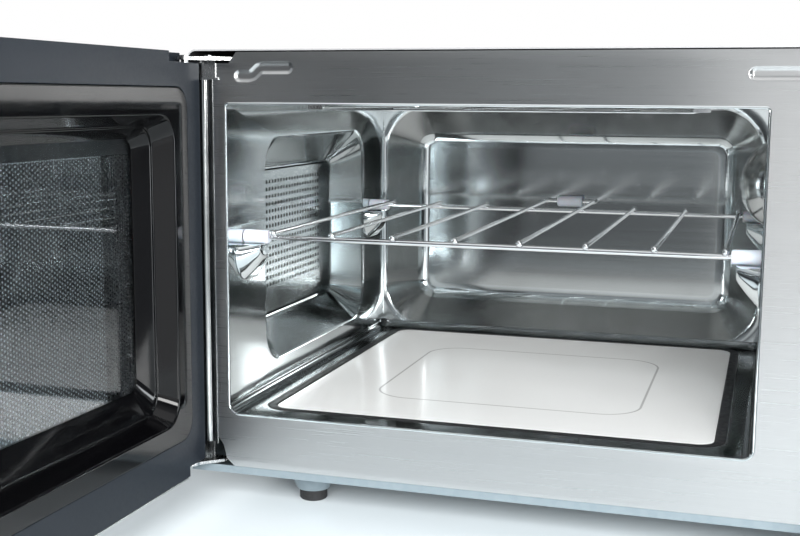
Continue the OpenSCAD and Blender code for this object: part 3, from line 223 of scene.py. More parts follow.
LAMPS = (   # name, place, aim, size, watts, colour, seen in mirrors
    ("key_softbox", (1.18, -1.67, 0.52), (0.0, 0.1, 0.12), (0.75, 0.42), 20, (1.0, 0.995, 0.985), True),
    ("front_softbox", (0.25, -1.8, 0.95), (0.0, 0.2, 0.06), (1.2, 0.7), 90, (1, 1, 1), False),
    ("white_card", (0.28, -1.0, 0.15), (0.28, 0.0, 0.15), (0.44, 0.9), 0.95, (1, 1, 1), True),
    ("side_softbox", (2.2, -0.5, 0.42), (0.0, -0.15, 0.18), (0.4, 1.1), 20, (0.93, 0.97, 1.0), True),
    ("low_fill", (0.75, -0.95, 0.4), (0.25, -0.2, 0.0), (0.5, 0.3), 7, (1, 1, 1), False),
    ("ceiling_softbox", (0.1, -0.3, 1.6), (0.0, 0.05, 0.2), (1.8, 1.2), 3, (1, 1, 1), True),
)
for name, at, aim, size, watts, colour, mirrored in LAMPS:
    light = bpy.data.lights.new(name, "AREA")
    light.shape = "RECTANGLE"
    light.size, light.size_y = size
    light.energy, light.color = watts, colour
    lamp = new_object(name, light)
    lamp.location = at
    lamp.rotation_euler = (Vector(aim) - Vector(at)).to_track_quat("-Z", "Y").to_euler()
    lamp.visible_glossy = mirrored
print("lamps:", [lamp[0] for lamp in LAMPS])

# %% [markdown]
# ## A way to write finishes
# No surface is one flat colour. `textured` gives a material three kinds of noise: one shades its
# colour, one varies its gloss and one raises its surface. A noise is written as cells per metre, or
# with its detail too, and runs on the object's own coordinates, so it stays put when a part moves.

# %% Surface helpers
MIDDLE = (0.3, 0.7)      # most of a noise lies between these values
FINISH = {}              # every material by its name, which is mostly that of a slot in the model


def surface(name, colour, metallic=0.0, roughness=0.5, **sockets):
    """A new material whose plain numbers sit on the shader's own sockets."""
    material = bpy.data.materials.new(name)
    material.use_nodes = True
    inputs = material.node_tree.nodes["Principled BSDF"].inputs
    for key, value in {"Base_Color": (*colour, 1), "Metallic": metallic, "Roughness": roughness, **sockets}.items():
        inputs[key.replace("_", " ")].default_value = value
    FINISH[name] = material
    return material, material.node_tree


def repaint(mesh, material):
    mesh.materials.clear()
    mesh.materials.append(material)


def plug(tree, value, socket):
    tree.links.new(out(value), tree.nodes["Principled BSDF"].inputs[socket])


def own_place(tree):
    return wire(tree, "TexCoord").outputs["Object"]


def grain(tree, scale, detail=3.0, rough=0.55):
    """Noise in cells per metre; three numbers draw it out along the axis with the lowest."""
    scale = scale if isinstance(scale, tuple) else (scale,) * 3
    run = wire(tree, "Mapping", Vector=own_place(tree), Scale=scale)
    return wire(tree, "TexNoise", Vector=run, Scale=1.0, Detail=detail, Roughness=rough)


def tint(tree, factor, dark, light, low=MIDDLE[0], high=MIDDLE[1]):
    plug(tree, ramp(tree, factor, [(low, dark), (high, light)]), "Base Color")


def vary(tree, factor, low, high, span=MIDDLE):
    plug(tree, wire(tree, "MapRange", _0=factor, _1=span[0], _2=span[1], _3=low, _4=high), "Roughness")


def emboss(tree, height, strength, distance):
    bump = wire(tree, "Bump", Strength=strength, Distance=distance, Height=height)
    plug(tree, bump, "Normal")
    return bump


def textured(name, colour, metallic=0.0, roughness=0.5, shades=None, gloss=None, relief=None, **sockets):
    """shades is (noise, dark, light), gloss (noise, low, high) and relief (noise, strength, metres)."""
    material, tree = surface(name, colour, metallic, roughness, **sockets)
    noises = {}
    for use, write in ((shades, tint), (gloss, vary), (relief, emboss)):
        if use:
            noise = use[0] if isinstance(use[0], tuple) else (use[0],)
            noises[noise] = noises.get(noise) or grain(tree, *noise)
            write(tree, noises[noise], *use[1:])
    return material


table = textured("pale_table", (0.67, 0.72, 0.745), 0.0, 0.22, Specular_IOR_Level=0.4,
    shades=((2.5, 1.0), (0.66, 0.715, 0.74), (0.68, 0.735, 0.76), 0.35, 0.65))
bpy.ops.mesh.primitive_plane_add(size=6, location=(0, 2.55, 0))
floor = bpy.context.object
floor.name = "table_top"
floor.data.materials.append(table)
print("table is", floor.dimensions.x, "m wide")

# %% [markdown]
# ## Tools for pressed sheet metal
# Most of this oven is thin sheet, pressed over a die. Seen from above, each die is a rectangle with
# round corners, and every step down is a smaller one. So a pressing is a loft: a few named rings,
# each a rectangle, a corner radius and a depth. `ease` rounds the edges between them, as a die does,
# and the sheet gets its thickness last, away from the side that is seen.

# %% Rings and lofts
def arc(x, y, r, start, sweep, steps):
    """Points round (x, y), from the angle start on, in degrees."""
    turns = [radians(start + sweep * k / steps) for k in range(steps + 1)]
    return [(x + r * cos(turn), y + r * sin(turn)) for turn in turns]


def ring(a, b, r, steps=8, top=None):
    """Points round a rectangle from corner a to corner b, with corner radius r, or top for the upper two."""
    t = r if top is None else top
    centres = ((b[0] - t, b[1] - t, t), (a[0] + t, b[1] - t, t), (a[0] + r, a[1] + r, r), (b[0] - r, a[1] + r, r))
    return [p for k, centre in enumerate(centres) for p in arc(*centre, 90 * k, 90, steps)]


def ease(stations, trims, steps=5):
    """Rounds the corners of a path in any number of dimensions; trims are lengths cut off each side."""
    stations = [tuple(map(float, s)) for s in stations]
    path = [stations[0]]
    for before, here, after, trim in zip(stations, stations[1:], stations[2:], trims):
        ends = []
        for other in (before, after):
            gap = hypot(other[0] - here[0], other[-1] - here[-1]) or 1.0
            share = min(trim / gap, 0.49)
            ends.append([h + (o - h) * share for h, o in zip(here, other)])
        for t in (k / steps for k in range(steps + 1)):
            path.append(tuple((1 - t) ** 2 * p + 2 * t * (1 - t) * h + t * t * q
                              for p, h, q in zip(ends[0], here, ends[1])))
    return path + [stations[-1]]


def skin(rings, close=False, loop=True):
    """Quads between rings of equally many points; close fills the last ring, loop joins a ring's ends."""
    count = len(rings[0])
    points = [p for one in rings for p in one]
    faces = []
    for k in range(0, len(points) - count, count):
        for i in range(count if loop else count - 1):
            j = (i + 1) % count
            faces.append((k + i, k + j, k + count + j, k + count + i))
    if close:
        faces.append(tuple(range(len(points) - count, len(points))))
    return points, faces


def loft(outline, path, **how):
    """The skin over outline(size) at each (size, depth) of the path."""
    return skin([[(x, y, depth) for x, y in outline(size)] for size, depth in path], **how)


def flat(outlines):
    """Triangles that fill the first outline and leave the others open."""
    outlines = [[Vector((*p, 0)) for p in line] for line in outlines]
    return [p for line in outlines for p in line], tessellate_polygon(outlines)


def pressing(stations, trims, close=False, steps=8, ease_steps=5):
    """A loft of rectangles. A station is (x0, y0, x1, y1, radius, depth)."""
    rings = []
    for x0, y0, x1, y1, r, depth in ease(stations, trims, ease_steps):
        r = max(min(r, (x1 - x0) / 2 - 0.01, (y1 - y0) / 2 - 0.01), 0.05)
        rings.append([(x, y, depth) for x, y in ring((x0, y0), (x1, y1), r, steps)])
    return skin(rings, close)


def level(z):
    """Lays a drawing flat at height z; upright stands it up facing the front, and sideways a side."""
    return lambda p: (p[0], p[1], z + p[2])


def upright(y, way=1):
    return lambda p: (p[0], y + way * p[2], p[1])


def sideways(x, way=1):
    return lambda p: (x + way * p[2], p[0], p[1])


print("a ring has", len(ring((0, 0), (10, 10), 2)), "points")

# %% From a drawing to a piece on its body
class Editing:
    """`with Editing(mesh) as work` opens a mesh as a bmesh and writes it back at the end."""

    def __init__(self, mesh):
        self.mesh, self.work = mesh, bmesh.new()
        self.work.from_mesh(mesh)

    def __enter__(self):
        return self.work

    def __exit__(self, *error):
        self.work.to_mesh(self.mesh)
        self.work.free()


def make_real(obj):
    """Swaps the object's mesh for the one that its modifiers make of it."""
    bpy.context.view_layer.update()
    mesh = bpy.data.meshes.new_from_object(obj.evaluated_get(bpy.context.evaluated_depsgraph_get()))
    obj.modifiers.clear()
    old, obj.data = obj.data, mesh
    bpy.data.meshes.remove(old)
    mesh.name = obj.name
    return mesh


BODY_OF = {node: body for body, nodes in frame["record"]["behaviour"]["bodies"].items() for node in nodes}


def finish(obj, node, sharp=35):
    """Smooth shading with the big faces in charge, modifiers made real, and the piece put on its node's body."""
    obj.data.shade_smooth()
    with Editing(obj.data) as work:
        for edge in work.edges:
            edge.smooth = len(edge.link_faces) != 2 or edge.calc_face_angle(0) <= radians(sharp)
    weight = obj.modifiers.new("weight", "WEIGHTED_NORMAL")
    weight.keep_sharp = True
    weight.weight = 80
    mesh = make_real(obj)
    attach(obj, BODY_OF[node])
    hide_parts(node)
    print(f"{obj.name}: {len(mesh.vertices)} points, {sum(len(p.vertices) - 2 for p in mesh.polygons)} triangles")
    return obj


class Sheet:
    """Collects shapes in millimetres and makes one mesh of them, in the model's frame."""

    def __init__(self, name, opened=False):
        self.name, self.opened = name, opened
        self.points, self.faces, self.slots = [], [], []

    def add(self, shape, where=lambda p: p, slot=0):
        points, faces = shape
        start = len(self.points)
        self.points += [Vector(where(p)) for p in points]
        self.faces += [tuple(start + i for i in face) for face in faces]
        self.slots += [slot] * len(faces)
        return self

    def make(self, node, materials, slot, towards=None, thickness=0.0):
        """towards is the side that the sheet faces; the thickness goes the other way."""
        mesh = bpy.data.meshes.new(self.name)
        mesh.from_pydata([place(swing(p) if self.opened else p) for p in self.points], [], self.faces)
        for material in materials:
            mesh.materials.append(material)
        mesh.polygons.foreach_set("material_index", self.slots)
        with Editing(mesh) as work:
            bmesh.ops.remove_doubles(work, verts=work.verts, dist=1e-6)
            bmesh.ops.dissolve_degenerate(work, edges=work.edges, dist=1e-7)
            bmesh.ops.recalc_face_normals(work, faces=work.faces)
            if towards:
                facing = OPEN @ Vector(towards) if self.opened else Vector(towards)
                if sum((f.normal.dot(facing) * f.calc_area() for f in work.faces), 0.0) < 0:
                    bmesh.ops.reverse_faces(work, faces=work.faces)
        obj = new_object(self.name, mesh)
        if thickness:
            shell = obj.modifiers.new("thickness", "SOLIDIFY")
            shell.thickness = thickness / 1000
            shell.use_even_offset = True
        return finish(obj, node)


def ride_uv(obj, across, along):
    """A flat UV map in metres; brushed metal blurs its reflections along the first direction."""
    layer = obj.data.uv_layers.new(name="run")
    across, along = Vector(across), Vector(along)
    for loop in obj.data.loops:
        co = obj.data.vertices[loop.vertex_index].co
        layer.data[loop.index].uv = (co.dot(across), co.dot(along))


print("the tools for pieces are ready")

# %% [markdown]
# ## Stainless steel, twice
# The front plate is brushed from side to side: fine scratches blur a reflection up and down but
# hardly sideways. An anisotropic shader does just that, and the scratches themselves are noise drawn
# out along x. The cavity is the same steel left almost mirror bright, so it only needs a low
# roughness, and a slow wave in the sheet that bends the reflections.

# %% Brushed and bright steel
def brushed(name, colour, roughness, anisotropy, lines=(12, 2600, 2600)):
    material, tree = surface(name, colour, 1.0, roughness, Anisotropic=anisotropy)
    scratch = grain(tree, lines, detail=4.0, rough=0.6)
    broad = grain(tree, tuple(0.12 * n for n in lines), detail=2.0)
    dark = tuple(c * 0.95 for c in colour)
    plug(tree, mix(tree, 0.3, ramp(tree, scratch, [(MIDDLE[0], dark), (MIDDLE[1], colour)]),
        ramp(tree, broad, [(MIDDLE[0], 0.95), (MIDDLE[1], 1.0)]), blend_type="MULTIPLY"), "Base Color")
    vary(tree, scratch, roughness * 0.92, roughness * 1.1)
    emboss(tree, scratch, 0.03, 4e-5)
    if anisotropy:
        plug(tree, wire(tree, "Tangent", direction_type="UV_MAP", uv_map="run"), "Tangent")
    return material


def bright(name, colour, roughness, wave=0.2):
    material, tree = surface(name, colour, 1.0, roughness)
    smear = grain(tree, 22.0)
    vary(tree, smear, roughness * 0.75, roughness * 1.5)
    tint(tree, smear, tuple(c * 0.94 for c in colour), colour)
    fine = emboss(tree, grain(tree, (1500, 1500, 25), 2.0), 0.02, 2e-5)
    slow = wire(tree, "Bump", Strength=wave, Distance=0.0012, Height=grain(tree, 9.0, 1.0))
    tree.links.new(slow.outputs[0], fine.inputs["Normal"])
    return material


front_steel = brushed("front_stainless", (0.675, 0.68, 0.68), 0.29, 0.75)
wall_steel = bright("cavity_stainless", (0.72, 0.765, 0.775), 0.09)
# A darker copy of the cavity steel for the satin dishes: its lower colour is painted shade.
shaded_dish_steel = bright("cavity_stainless_dish", (0.48, 0.495, 0.495), 0.17)
rear_steel = brushed("cavity_stainless_brushed", (0.65, 0.68, 0.685), 0.11, 0.5, lines=(7, 1500, 1500))
# A much darker copy of the cavity steel for the floor: its low colour is painted shade.
shaded_floor_steel = bright("cavity_stainless_floor", (0.27, 0.285, 0.29), 0.11)
print("steels ready")

# %% [markdown]
# ## Cavity walls
# Each wall is one pressing. The left wall has a deep recess that ends at a perforated sheet, the
# right wall an oval dome over the microwave inlet, and both carry hollow bumps that hold the rack.
# The rear wall is a single deep dish: satin on its slopes, bright where the sheet bends, and brushed
# on its flat middle. The ceiling and the dome are satin too, because deep drawing dulls the mirror.
# The satin steel of these slopes, the ceiling and the dome is also darker in colour than the walls: painted shade.

# %% Rack supports and walls
SUPPORTS = ((12.0, 54.0), (271.0, 318.0))
SUPPORT_TOP = 177.0
RECESS, DISH, CEILING_DISH = 22, 29, 17
DOME_R, DOME_HEIGHT = 27, 17


def polygon_ring(corners, r, count=40):
    """A polygon with round corners, as evenly spaced points that start on its first side."""
    path = []
    for before, here, after in zip(corners[-1:] + corners[:-1], corners, corners[1:] + corners[:1]):
        here = Vector(here)
        a, b = Vector(before) - here, Vector(after) - here
        cut = min(r, a.length * 0.45, b.length * 0.45)
        a, b = here + a.normalized() * cut, here + b.normalized() * cut
        path += [(1 - t) ** 2 * a + 2 * t * (1 - t) * here + t * t * b for t in (0, 0.2, 0.4, 0.6, 0.8, 1)]
    lengths = [(path[(i + 1) % len(path)] - path[i]).length for i in range(len(path))]
    total, evenly, at, i = sum(lengths), [], 0.0, 0
    for k in range(count):
        want = total * k / count
        while at + lengths[i] < want:
            at += lengths[i]
            i += 1
        evenly.append(path[i].lerp(path[(i + 1) % len(path)], (want - at) / max(lengths[i], 1e-9)))
    return evenly


def bump(y0, y1):
    """A hollow rack support: flat on top, drawn in below, 13.5 mm deep."""
    foot = polygon_ring([(y0, 177), (y1, 177), (y1, 168), (y1 - 8, 154), (y0 + 9, 154), (y0, 166)], 5)
    crown = polygon_ring([(y0 + 7, 177), (y1 - 20, 177), (y1 - 22, 170), (y0 + 10, 170)], 3)
    heart, peak = (Vector(((y0 + y1) / 2, z)) for z in (166, 173))
    outlines = [[heart + (p - heart) * spread for p in foot] for spread in (1.06, 1.0)]
    outlines += [[p.lerp(q, share) for p, q in zip(foot, crown)] for share in (0.18, 0.5, 0.8, 0.93, 1.0)]
    outlines.append([p.lerp(peak, 0.18) for p in outlines[-1]])
    return skin([[(p.x, min(p.y, SUPPORT_TOP), depth) for p in outline] for outline, depth in
                 zip(outlines, (0, 0.7, 3.5, 8, 11.6, 12.9, 13.3, 13.5))], close=True)


left_wall = Sheet("left_wall")
left_wall.add(pressing([(1, 67, DEPTH, CEILING, 0.1, 0), (61, 88, 267, 247, 25, 0), (85, 112, 243, 223, 6, -RECESS),
    (87.5, 114.5, 240.5, 220.5, 4, -RECESS)], (2.2, 2.4), steps=16), sideways(0))
for span in SUPPORTS:
    left_wall.add(bump(*span), sideways(0))
left_wall.make("cavity_left_wall", [wall_steel], "cavity_stainless", (1, 0, 0), SHEET)


def stadium(r, half=22, y=160.0, z=218.0, steps=16):
    """The dome's outline: two half circles of radius r, their centres half to each side of (y, z)."""
    return arc(y + half, z, r, -90, 180, steps) + arc(y - half, z, r, 90, 180, steps)


ball = (DOME_R ** 2 + DOME_HEIGHT ** 2) / (2 * DOME_HEIGHT)
dome = [(29.5, 0.0), (28.4, 0.12), (27.6, 0.4)]
for k in range(10):
    r = DOME_R * cos(radians(9 * k))
    dome.append((r, 0.9 + (sqrt(ball ** 2 - r ** 2) - (ball - DOME_HEIGHT)) * 16.1 / DOME_HEIGHT))
dome.append((0.3, DOME_HEIGHT))
right_wall = Sheet("right_wall")
right_wall.add(flat([[(1, 67), (DEPTH, 67), (DEPTH, CEILING), (1, CEILING)], stadium(dome[0][0])]), sideways(WIDTH))
right_wall.add(loft(stadium, dome, close=True), sideways(WIDTH, -1), slot=1)
for span in SUPPORTS:
    right_wall.add(bump(*span), sideways(WIDTH, -1))
right_wall.make("cavity_right_wall", [wall_steel, shaded_dish_steel], "cavity_stainless", (-1, 0, 0), SHEET)

bottom = ((40, 106), (290, 230))
rear_wall = Sheet("rear_wall")
rear_wall.add(pressing([(-1, 67, 331, CEILING, 0.1, 0), (2, 68.5, 328, 268, 40, 0), (31, 97.5, 299, 239, 11, DISH),
    (*bottom[0], *bottom[1], 6, DISH)], (2.4, 7), steps=12), upright(DEPTH), slot=2)
band = len(ring(*bottom, 6, 12))
rear_wall.slots[6 * band:7 * band] = [0] * band       # the dish's side lies between its two bends
rear_wall.add(([(x, z, DISH) for x, z in ring(*bottom, 6, 12)], [range(band)]), upright(DEPTH), slot=1)
rear_wall = rear_wall.make("cavity_back_wall", [shaded_dish_steel, rear_steel, wall_steel], "cavity_stainless",
    (0, -1, 0), SHEET)
ride_uv(rear_wall, (0, 0, 1), (1, 0, 0))

ceiling = Sheet("ceiling").add(pressing([(-1, 1, 331, DEPTH, 0.1, 0), (38, 52, 292, 262, 20, 0),
    (50, 64, 280, 250, 12, CEILING_DISH), (58, 72, 272, 242, 8, CEILING_DISH)], (2.4, 3), close=True), level(CEILING))
ceiling.make("cavity_ceiling", [shaded_dish_steel], "cavity_stainless", (0, 0, -1), SHEET)

# %% [markdown]
# The floor turns up into the walls with a small radius on three sides, and drops by the plate's
# thickness to a ledge that carries the plate. Below the ledge is the well for the stirrer.

# %% Cavity floor
CORNER = 9.0
ROLL = 6.0      # radius of the turn from floor to wall


def three_sides(inset):
    """From the front left corner round the back to the front right corner, drawn in by inset."""
    path = [(inset, 1.0)]
    for x, start in ((CORNER, 180), (WIDTH - CORNER, 90)):
        path += arc(x, DEPTH - CORNER, CORNER - inset, start, -90, 8)
    return path + [(WIDTH - inset, 1.0)]


def round_plate(path):
    """Rings round the plate for a path of (inset, height)."""
    return [[(x, y, z) for x, y in ring((PLATE[0] + g, PLATE[1] + g), (PLATE[2] - g, PLATE[3] - g),
        max(PLATE_CORNER - g, 3))] for g, z in path]


edge = three_sides(0.05 + ROLL)
turned_up = [(0.05 + ROLL - ROLL * cos(radians(a)), FLOOR + ROLL - ROLL * sin(radians(a)))
             for a in (0, 12, 25, 38, 52, 65, 78, 90)]
steps_down = ease([(-7.5, 0), (-6.5, 0), (-6.5, 5), (2.5, 5), (2.5, 18), (8, 18)], (0.6, 0.8, 0.8, 2), 3)
ledge = round_plate([(g, FLOOR - down) for g, down in steps_down])
cavity_floor = Sheet("cavity_floor").add(loft(three_sides, turned_up, loop=False))
cavity_floor.add(flat([edge, [(x, y) for x, y, z in ledge[0]]]), level(FLOOR)).add(skin(ledge, close=True))
# The floor's dark steel colour is painted shade.
cavity_floor.make("cavity_floor", [shaded_floor_steel], "cavity_stainless", (0, 0, 1), SHEET)

# %% [markdown]
# ## Front plate
# One stainless sheet closes the front of the cavity. It is hemmed round the opening, so that no cut
# edge shows, stiffened by two pressed grooves at the top, and stepped back beside the hinges. The
# flat is cut out of one outline with holes; each feature is then lofted into its own hole.

# %% Front plate
FRONT_SHEET = 0.9
GROOVE_R = 3.3
BEAD_Z = FRAME_TOP - 10


def groove(path, grown):
    """Outline of a groove along a path, with round ends, grown by so much."""
    path, r = [Vector(p) for p in path], GROOVE_R + grown
    left, right = [], []
    for before, here, after in zip(path[:1] + path, path, path[1:] + path[-1:]):
        ahead = (after - before).normalized()
        across = Vector((-ahead.y, ahead.x)) * r
        left.append(here + across)
        right.append(here - across)
    caps = [[tip + Vector(p) * r for p in arc(0, 0, 1, start, 150, 10)]
            for tip, start in ((path[-1], -75), (path[0], 105))]
    return [tuple(p) for p in right + caps[0] + left[::-1] + caps[1]]


def mouth(g):
    """The edge of the oven's opening, grown by g."""
    return ring((-g, FLOOR - g), (WIDTH + g, CEILING + g), 6 + g, top=1.5 + g)


left_groove = [(9.5, BEAD_Z - 5), (16, BEAD_Z - 5), (18.5, BEAD_Z - 4.3), (22.5, BEAD_Z - 0.7), (25, BEAD_Z),
    (42, BEAD_Z)]
right_groove = [(x, BEAD_Z - 3.5) for x in (322.5, 341, 360)]
groove_path = [(1.1, 0), (0.6, 0.08), (0.2, 0.3), (-0.3, 0.75), (-1.0, 1.25), (-1.8, 1.52), (-2.6, 1.6)]
hem = [(1.6, 0), (1.35, -0.2), (0.95, -0.45), (0.6, -0.55), (0.25, -0.42), (0.05, -0.15), (0.0, 0.15), (0.0, 1.0)]
outline = [(-9, 51.5), (-5.2, 46), (-3, 37), (2.5, FRAME_LOW), (482, FRAME_LOW), (482, FRAME_TOP), (7.2, FRAME_TOP),
    (2, 295), (-9, 295)]
latch_slots = [[(356, z), (364, z), (364, z + 24), (356, z + 24)] for z in (102, 226)]
panel_hole = ring((386, 62), (468, 272), 4)
front_plate = Sheet("front_plate")
front_plate.add(flat([outline, mouth(hem[0][0]), panel_hole] + [groove(path, groove_path[0][0])
    for path in (left_groove, right_groove)] + latch_slots), upright(0))
for path in (left_groove, right_groove):
    front_plate.add(loft(lambda grown: groove(path, grown), groove_path, close=True), upright(0))
front_plate.add(loft(mouth, hem), upright(0), slot=1)
front_plate = front_plate.make("front_frame", [front_steel, wall_steel], "front_stainless", (0, -1, 0), FRONT_SHEET)
ride_uv(front_plate, (0, 0, 1), (1, 0, 0))

# %% The stepped edge beside the hinges
edge_path = [(-9.0, 0.0), (-9.5, 0.1), (-9.9, 0.45), (-12.4, 3.55), (-12.8, 3.9), (-13.3, 4.0), (-15.2, 4.0),
    (-15.6, 3.7), (-16.2, 3.0), (-17.0, 2.65), (-17.8, 3.0), (-18.4, 3.7), (-18.8, 4.0), (-27.0, 4.0),
    (-28.2, 4.3), (-28.9, 5.2), (-29.0, 6.5), (-29.0, 17.0)]
stepped_edge = Sheet("stepped_edge")
stepped_edge.add(skin([[(x, y, z) for x, y in edge_path] for z in (46.2, 60, 120, 180, 240, 295)], loop=False))
# The stepped edge is front-plate steel but takes the darker satin copy of the cavity steel: painted shade.
stepped_edge = stepped_edge.make("front_frame", [shaded_dish_steel], "front_stainless", (0.2, -1, 0), FRONT_SHEET)
ride_uv(stepped_edge, (0, 0, 1), (1, 1, 0))

# %% [markdown]
# ## Base plate and its seal
# The plate is glass-ceramic, pale and slightly glossy. A thin grey line marks where the dish
# stands. The material draws it from the distance to a rounded rectangle, so it stays sharp at any
# size. A black silicone bead seals the gap round the plate.

# %% Plate and seal
ceramic, tree = surface("glass_ceramic", (0.85, 0.85, 0.83), roughness=0.2, Coat_Weight=0.25, Coat_Roughness=0.08)
speck = Sum(tree, grain(tree, 900.0, detail=2.0))
haze = Sum(tree, grain(tree, 6.0, detail=2.0))
where = wire(tree, "SeparateXYZ", _0=own_place(tree)).outputs
centre = place(((PLATE[0] + PLATE[2]) / 2, (PLATE[1] + PLATE[3]) / 2 - 6, 0))
round_r, line = 0.026, 0.0006
dx = abs(Sum(tree, where["X"]) - centre.x) - (0.092 - round_r)
dy = abs(Sum(tree, where["Y"]) - centre.y) - (0.088 - round_r)
beyond = [d.math("MAXIMUM", 0.0) for d in (dx, dy)]
outside = (beyond[0] * beyond[0] + beyond[1] * beyond[1]).math("SQRT")
inside = dx.math("MAXIMUM", dy).math("MINIMUM", 0.0)
drawn = wire(tree, "MapRange", _0=abs(outside + inside - round_r), _1=line, _2=line * 1.6, _3=1.0, _4=0.0)
body = ramp(tree, speck * 0.4 + haze * 0.6, [(0.35, (0.80, 0.805, 0.795)), (0.65, (0.84, 0.845, 0.835))])
plug(tree, mix(tree, Sum(tree, drawn) * 0.75, body, (0.36, 0.36, 0.35, 1)), "Base Color")
vary(tree, haze, 0.16, 0.26)
emboss(tree, speck, 0.04, 2e-5)

rim = round_plate([(3.0, PLATE_LOW), (0.8, PLATE_LOW), (0.2, 63.3), (0.0, 64.0), (0.0, 67.0), (0.25, 67.7),
    (0.9, FLOOR), (3.0, FLOOR)])
points, faces = skin(rim, close=True)
faces.append(tuple(reversed(range(len(rim[0])))))
Sheet("base_plate").add((points, faces)).make("ceramic_plate", [ceramic], "glass_ceramic")

silicone = textured("seal_silicone", (0.012, 0.012, 0.013), 0.0, 0.42, Specular_IOR_Level=0.4,
    gloss=(300.0, 0.34, 0.5), relief=(500.0, 0.05, 5e-5))
bead = round_plate([(0.1, 63.2), (0.1, 67.9), (-0.6, 68.25), (-2.0, 68.3), (-3.4, 68.05), (-4.6, 68.15), (-5.8, 68.2),
    (-6.3, 67.9), (-6.3, 63.2)])
Sheet("plate_bead").add(skin([*bead, bead[0]])).make("plate_seal", [silicone], "seal_silicone")

# %% [markdown]
# ## Door, seen from inside
# The inner frame is sheet steel with a grey paint. A glossy black plastic cover fills it: flat at
# the edge, then a rounded ridge, a step and a slope down to the window. That is again a pressing.

# %% Door finishes
textured("door_paint", (0.013, 0.0165, 0.0215), 0.0, 0.38, Specular_IOR_Level=0.17,
    shades=(12.0, (0.0115, 0.0148, 0.0195), (0.0145, 0.018, 0.0235)), gloss=((420.0, 1.5), 0.3, 0.4),
    relief=((420.0, 1.5), 0.06, 4e-5))
black = textured("choke_plastic", (0.001, 0.001, 0.0013), 0.0, 0.05, Specular_IOR_Level=0.31,
    shades=((1500.0, 1.0), (0.0009, 0.0009, 0.0012), (0.004, 0.004, 0.0045), 0.66, 0.78),
    gloss=(30.0, 0.06, 0.11), relief=((140.0, 2.0), 0.1, 0.00015))

# %% Choke cover
choke = Sheet("choke_cover_pressing", opened=True)
choke.add(pressing([(-12.7, 56.3, 342.7, 279.7, 12.7, 4), (-12.7, 56.3, 342.7, 279.7, 12.7, -0.5),
    (4, 69, 326, 263, 16, -0.5), (10.5, 75.5, 319.5, 256.5, 14, 12), (12, 77, 318, 255, 12.5, 12.2),
    (20, 92, 310, 248.5, 8, 20.8)], (1.0, 1.4, 1.0, 1.0), steps=10, ease_steps=6), upright(DOOR_FACE, -1))
choke.make("choke_cover", [black], "choke_plastic", (0, 1, 0), 1.6)

# %% [markdown]
# ## Parts whose shape is right already
# Bent sheet and housings come from the model with dead sharp edges. A real edge is a little round
# and catches a thin line of light. `soften` copies such a part, welds its triangles, joins the flat
# ones, and runs a narrow bevel round its edges.

# %% Soften
def soften(name, node, slot, width, segments=2):
    """A copy of one of the model's parts in the slot's finish, its edges rounded over width mm."""
    mesh = frame["nodes"][node].data.copy()
    mesh.name = name
    repaint(mesh, FINISH[slot])
    with Editing(mesh) as work:
        bmesh.ops.remove_doubles(work, verts=work.verts, dist=2e-6)
        bmesh.ops.dissolve_degenerate(work, edges=work.edges, dist=1e-6)
        bmesh.ops.dissolve_limit(work, angle_limit=radians(0.4), verts=work.verts, edges=work.edges)
        bmesh.ops.recalc_face_normals(work, faces=work.faces)
    obj = new_object(name, mesh)
    rounded = obj.modifiers.new("edge", "BEVEL")
    rounded.width = width / 1000
    rounded.segments = segments
    rounded.angle_limit = radians(25)
    return finish(obj, node, sharp=40)


print("parts with a body:", len(BODY_OF))

# %% [markdown]
# ## Finishes of the smaller parts
# Zinc-plated hinges and the galvanised pan have a soft grey sheen with a crystal pattern. The pan's
# dark blue-grey colour is painted shade, for where it sits low under the oven. The rack
# is bright chromium plate; sleeves and bushes are white moulded plastic that light sinks into.

# %% Small finishes
def spangled(name, colour, metallic, roughness, cells, dark, light, low, high):
    """Sheet with the crystal pattern of hot zinc."""
    material, tree = surface(name, colour, metallic, roughness)
    crystals = wire(tree, "TexVoronoi", Vector=own_place(tree), Scale=cells).outputs["Color"]
    tint(tree, crystals, dark, light, 0.2, 0.8)
    vary(tree, crystals, low, high, span=(0.2, 0.8))
    return material


galvanised = spangled("galvanised_sheet", (0.62, 0.64, 0.65), 0.85, 0.38, 160.0, (0.56, 0.58, 0.59),
    (0.68, 0.70, 0.71), 0.3, 0.46)
# The pan's dark blue-grey colour is painted shade for its lip low under the oven; the crystal pattern is its own.
spangled("pan_sheet", (0.32, 0.37, 0.40), 0.35, 0.36, 220.0, (0.19, 0.235, 0.26),
    (0.21, 0.255, 0.28), 0.3, 0.42)
textured("hinge_steel", (0.62, 0.63, 0.63), 1.0, 0.24, shades=(60.0, (0.56, 0.57, 0.57),
    (0.68, 0.69, 0.69)), gloss=(((900, 200, 200), 3.0), 0.18, 0.34), relief=(((900, 200, 200), 3.0), 0.05, 3e-5))
textured("casing_paint", (0.52, 0.53, 0.54), 0.55, 0.34, Coat_Weight=0.15, Coat_Roughness=0.2,
    shades=((1800.0, 1.0), (0.47, 0.48, 0.49), (0.58, 0.59, 0.60)), gloss=(300.0, 0.3, 0.42),
    relief=((350.0, 1.0), 0.06, 5e-5))
chrome = textured("rack_chrome", (0.86, 0.87, 0.88), 1.0, 0.10, gloss=(120.0, 0.06, 0.16),
    relief=((200.0, 1.0), 0.08, 0.0001))
sleeve_white = textured("sleeve_plastic", (0.51, 0.545, 0.60), 0.0, 0.38, Subsurface_Weight=0.25,
    Subsurface_Scale=0.004, shades=(90.0, (0.48, 0.515, 0.57), (0.53, 0.565, 0.62)),
    relief=(700.0, 0.06, 5e-5))
